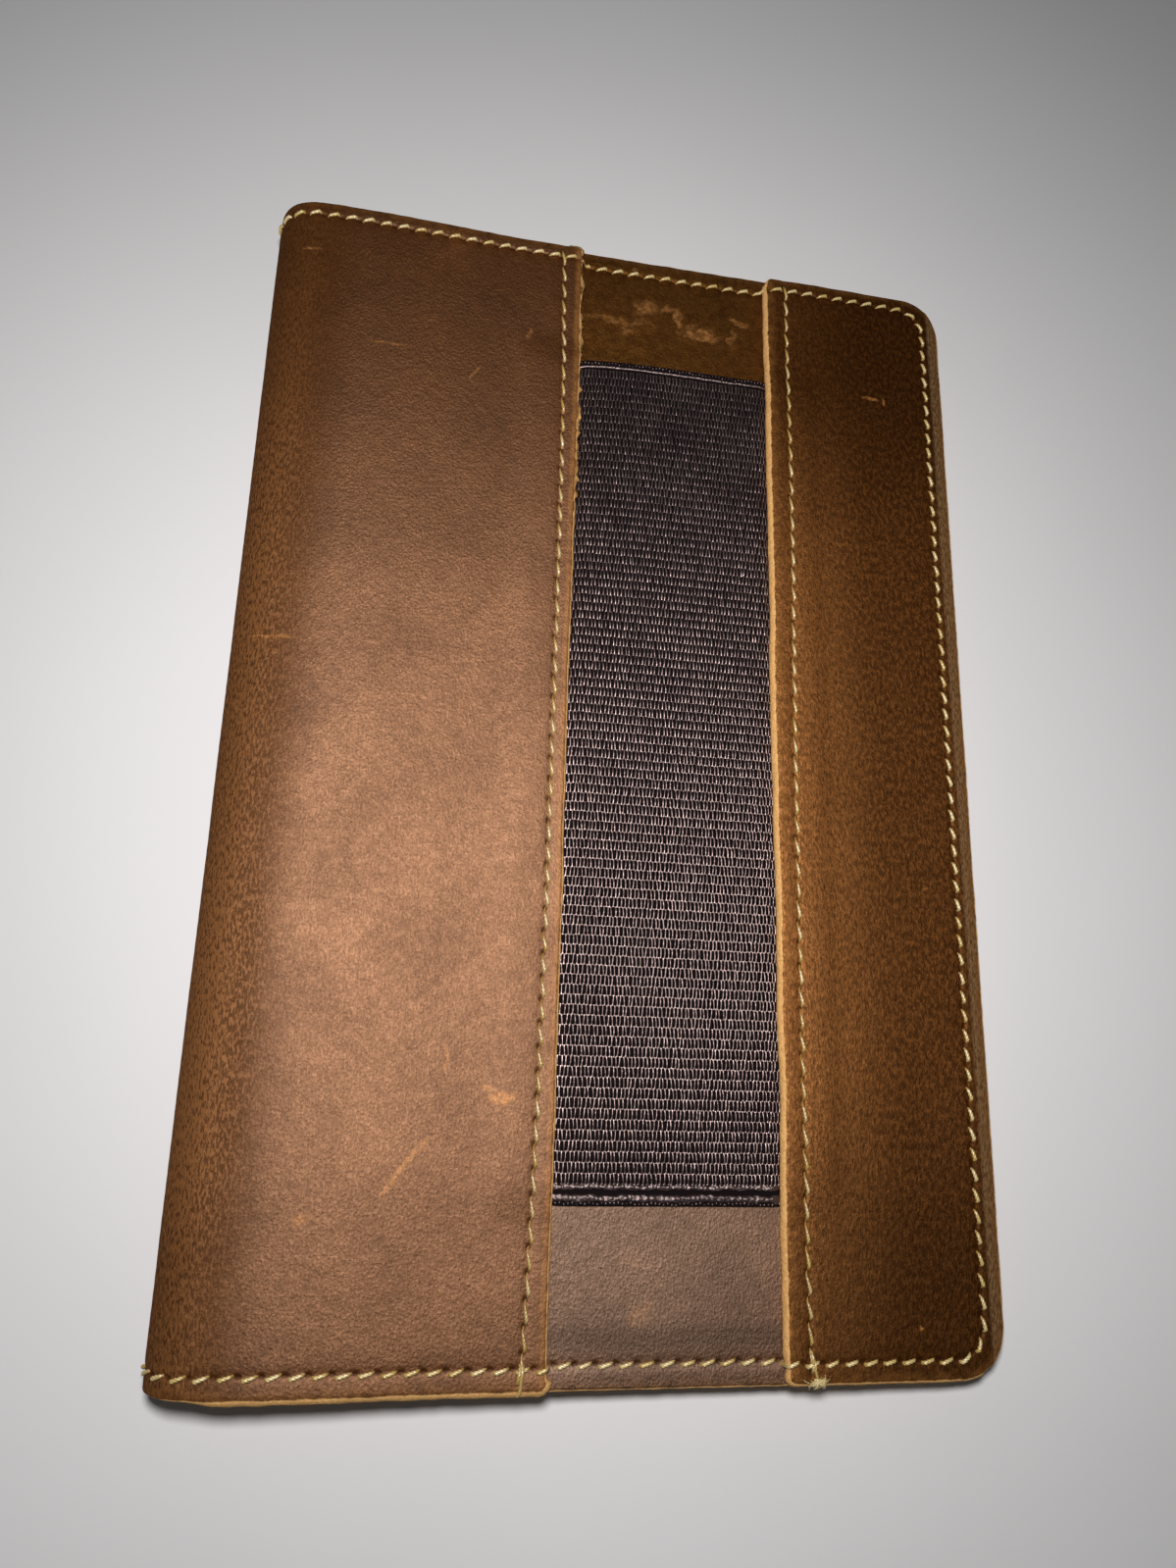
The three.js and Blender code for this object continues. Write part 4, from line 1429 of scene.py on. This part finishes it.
SHEET_NODES = {
    "back": ("back_main_panel", "spine_panel"),
    "front": ("front_main_panel", "spine_panel"),
    "strip": ("fore_edge_panel",),
    "backing": ("window_backing",),
    "pocket": ("front_pocket",),
    "back_pocket": ("back_pocket",),
}
SPINE_THREADS = ("spine_top_thread", "spine_bottom_thread")


def name_nodes():
    """Hides the CAD nodes that the built pieces stand in for."""
    for key, nodes in SHEET_NODES.items():
        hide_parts(*nodes)
    for cover in ("back", "front"):
        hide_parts(cover + "_needle_thread", *SPINE_THREADS)
        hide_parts(cover + "_bobbin_thread")
    for side in ("left", "right"):
        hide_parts(f"window_{side}_needle_thread")
        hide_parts(f"window_{side}_bobbin_thread")
        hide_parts(f"elastic_{side}_end", "elastic_span")


def join_covers(sheets, threads):
    """The outer skin and its seam, built round the fold, stay as they are in world space; all the rest
    rides on its cover.
    """
    for piece in (sheets["back"], threads["outer_back"], threads["under_back"]):
        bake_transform(piece)
    for piece in (sheets["front"], threads["outer_front"], threads["under_front"]):
        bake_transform(piece)
    for key in ("strip", "backing", "pocket"):
        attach(sheets[key], "front_cover")
    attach(sheets["back_pocket"], "back_cover")
    for key in ("window_left", "window_right", "window_under_left", "window_under_right", "ends"):
        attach(threads[key], "front_cover")


def join_elastic(elastics):
    """Each half of the elastic, from its sewn end under its panel to the middle of the window, stays as
    built in world space.
    """
    for side, edge in (("left", EDGE_LEFT), ("right", EDGE_RIGHT)):
        ground, yarns = elastics[side]
        for piece in (ground, yarns):
            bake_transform(piece)


# ---------------------------------------------------------------- the room and the camera
FLOOR_HALF, FLOOR_GAP = 6000.0, 0.05
ROOM_COLOUR, ROOM_STRENGTH = (0.82, 0.94, 1.0, 1.0), 0.045
LIGHT_PLACE, LIGHT_AIM = (-24.9, -12.7, 161.6), (16.8, 9.0, 0)
LIGHT_SIZE, LIGHT_POWER = 26, 0.32
CAMERA_PLACE, CAMERA_TURN = (-20.847, -41.486, 139.748), (14.817, -7.922, 1.502)
SENSOR_WIDTH, LENS, CLIP_START = 36.0, 24.535, 0.005


def area_light(name, place, target, size, power, colour):
    data = bpy.data.lights.new(name, "AREA")
    data.shape = "DISK"
    data.size = size * MM
    data.energy = power
    data.color = colour
    light = bpy.data.objects.new(name, data)
    light.location = [c * MM for c in place]
    aim = Vector([(t - p) * MM for t, p in zip(target, place)])
    light.rotation_euler = aim.to_track_quat("-Z", "Y").to_euler()
    bpy.context.scene.collection.objects.link(light)


def make_room():
    scene = bpy.context.scene
    half = FLOOR_HALF * MM
    mesh = bpy.data.meshes.new("floor")
    corners = [(-half, -half, 0), (half, -half, 0), (half, half, 0), (-half, half, 0)]
    mesh.from_pydata(corners, [], [(0, 1, 2, 3)])
    mesh.materials.append(floor_material())
    floor = bpy.data.objects.new("floor", mesh)
    scene.collection.objects.link(floor)
    floor.location.z = -FLOOR_GAP * MM
    world = bpy.data.worlds.new("world")
    world.use_nodes = True
    background = world.node_tree.nodes["Background"]
    background.inputs["Color"].default_value = ROOM_COLOUR
    background.inputs["Strength"].default_value = ROOM_STRENGTH
    scene.world = world
    area_light("key", LIGHT_PLACE, LIGHT_AIM, LIGHT_SIZE, LIGHT_POWER, (1.0, 0.98, 0.965))
    scene.view_settings.view_transform = "Standard"


def make_camera():
    data = bpy.data.cameras.new("camera")
    data.sensor_width = SENSOR_WIDTH
    data.lens = LENS
    data.clip_start = CLIP_START
    camera = bpy.data.objects.new("camera", data)
    camera.location = [c * MM for c in CAMERA_PLACE]
    camera.rotation_euler = [math.radians(a) for a in CAMERA_TURN]
    bpy.context.scene.collection.objects.link(camera)
    bpy.context.scene.camera = camera


sheets, threads, elastics = build_leather(), build_thread(), build_elastic()
name_nodes()
join_covers(sheets, threads)
join_elastic(elastics)
make_room()
make_camera()
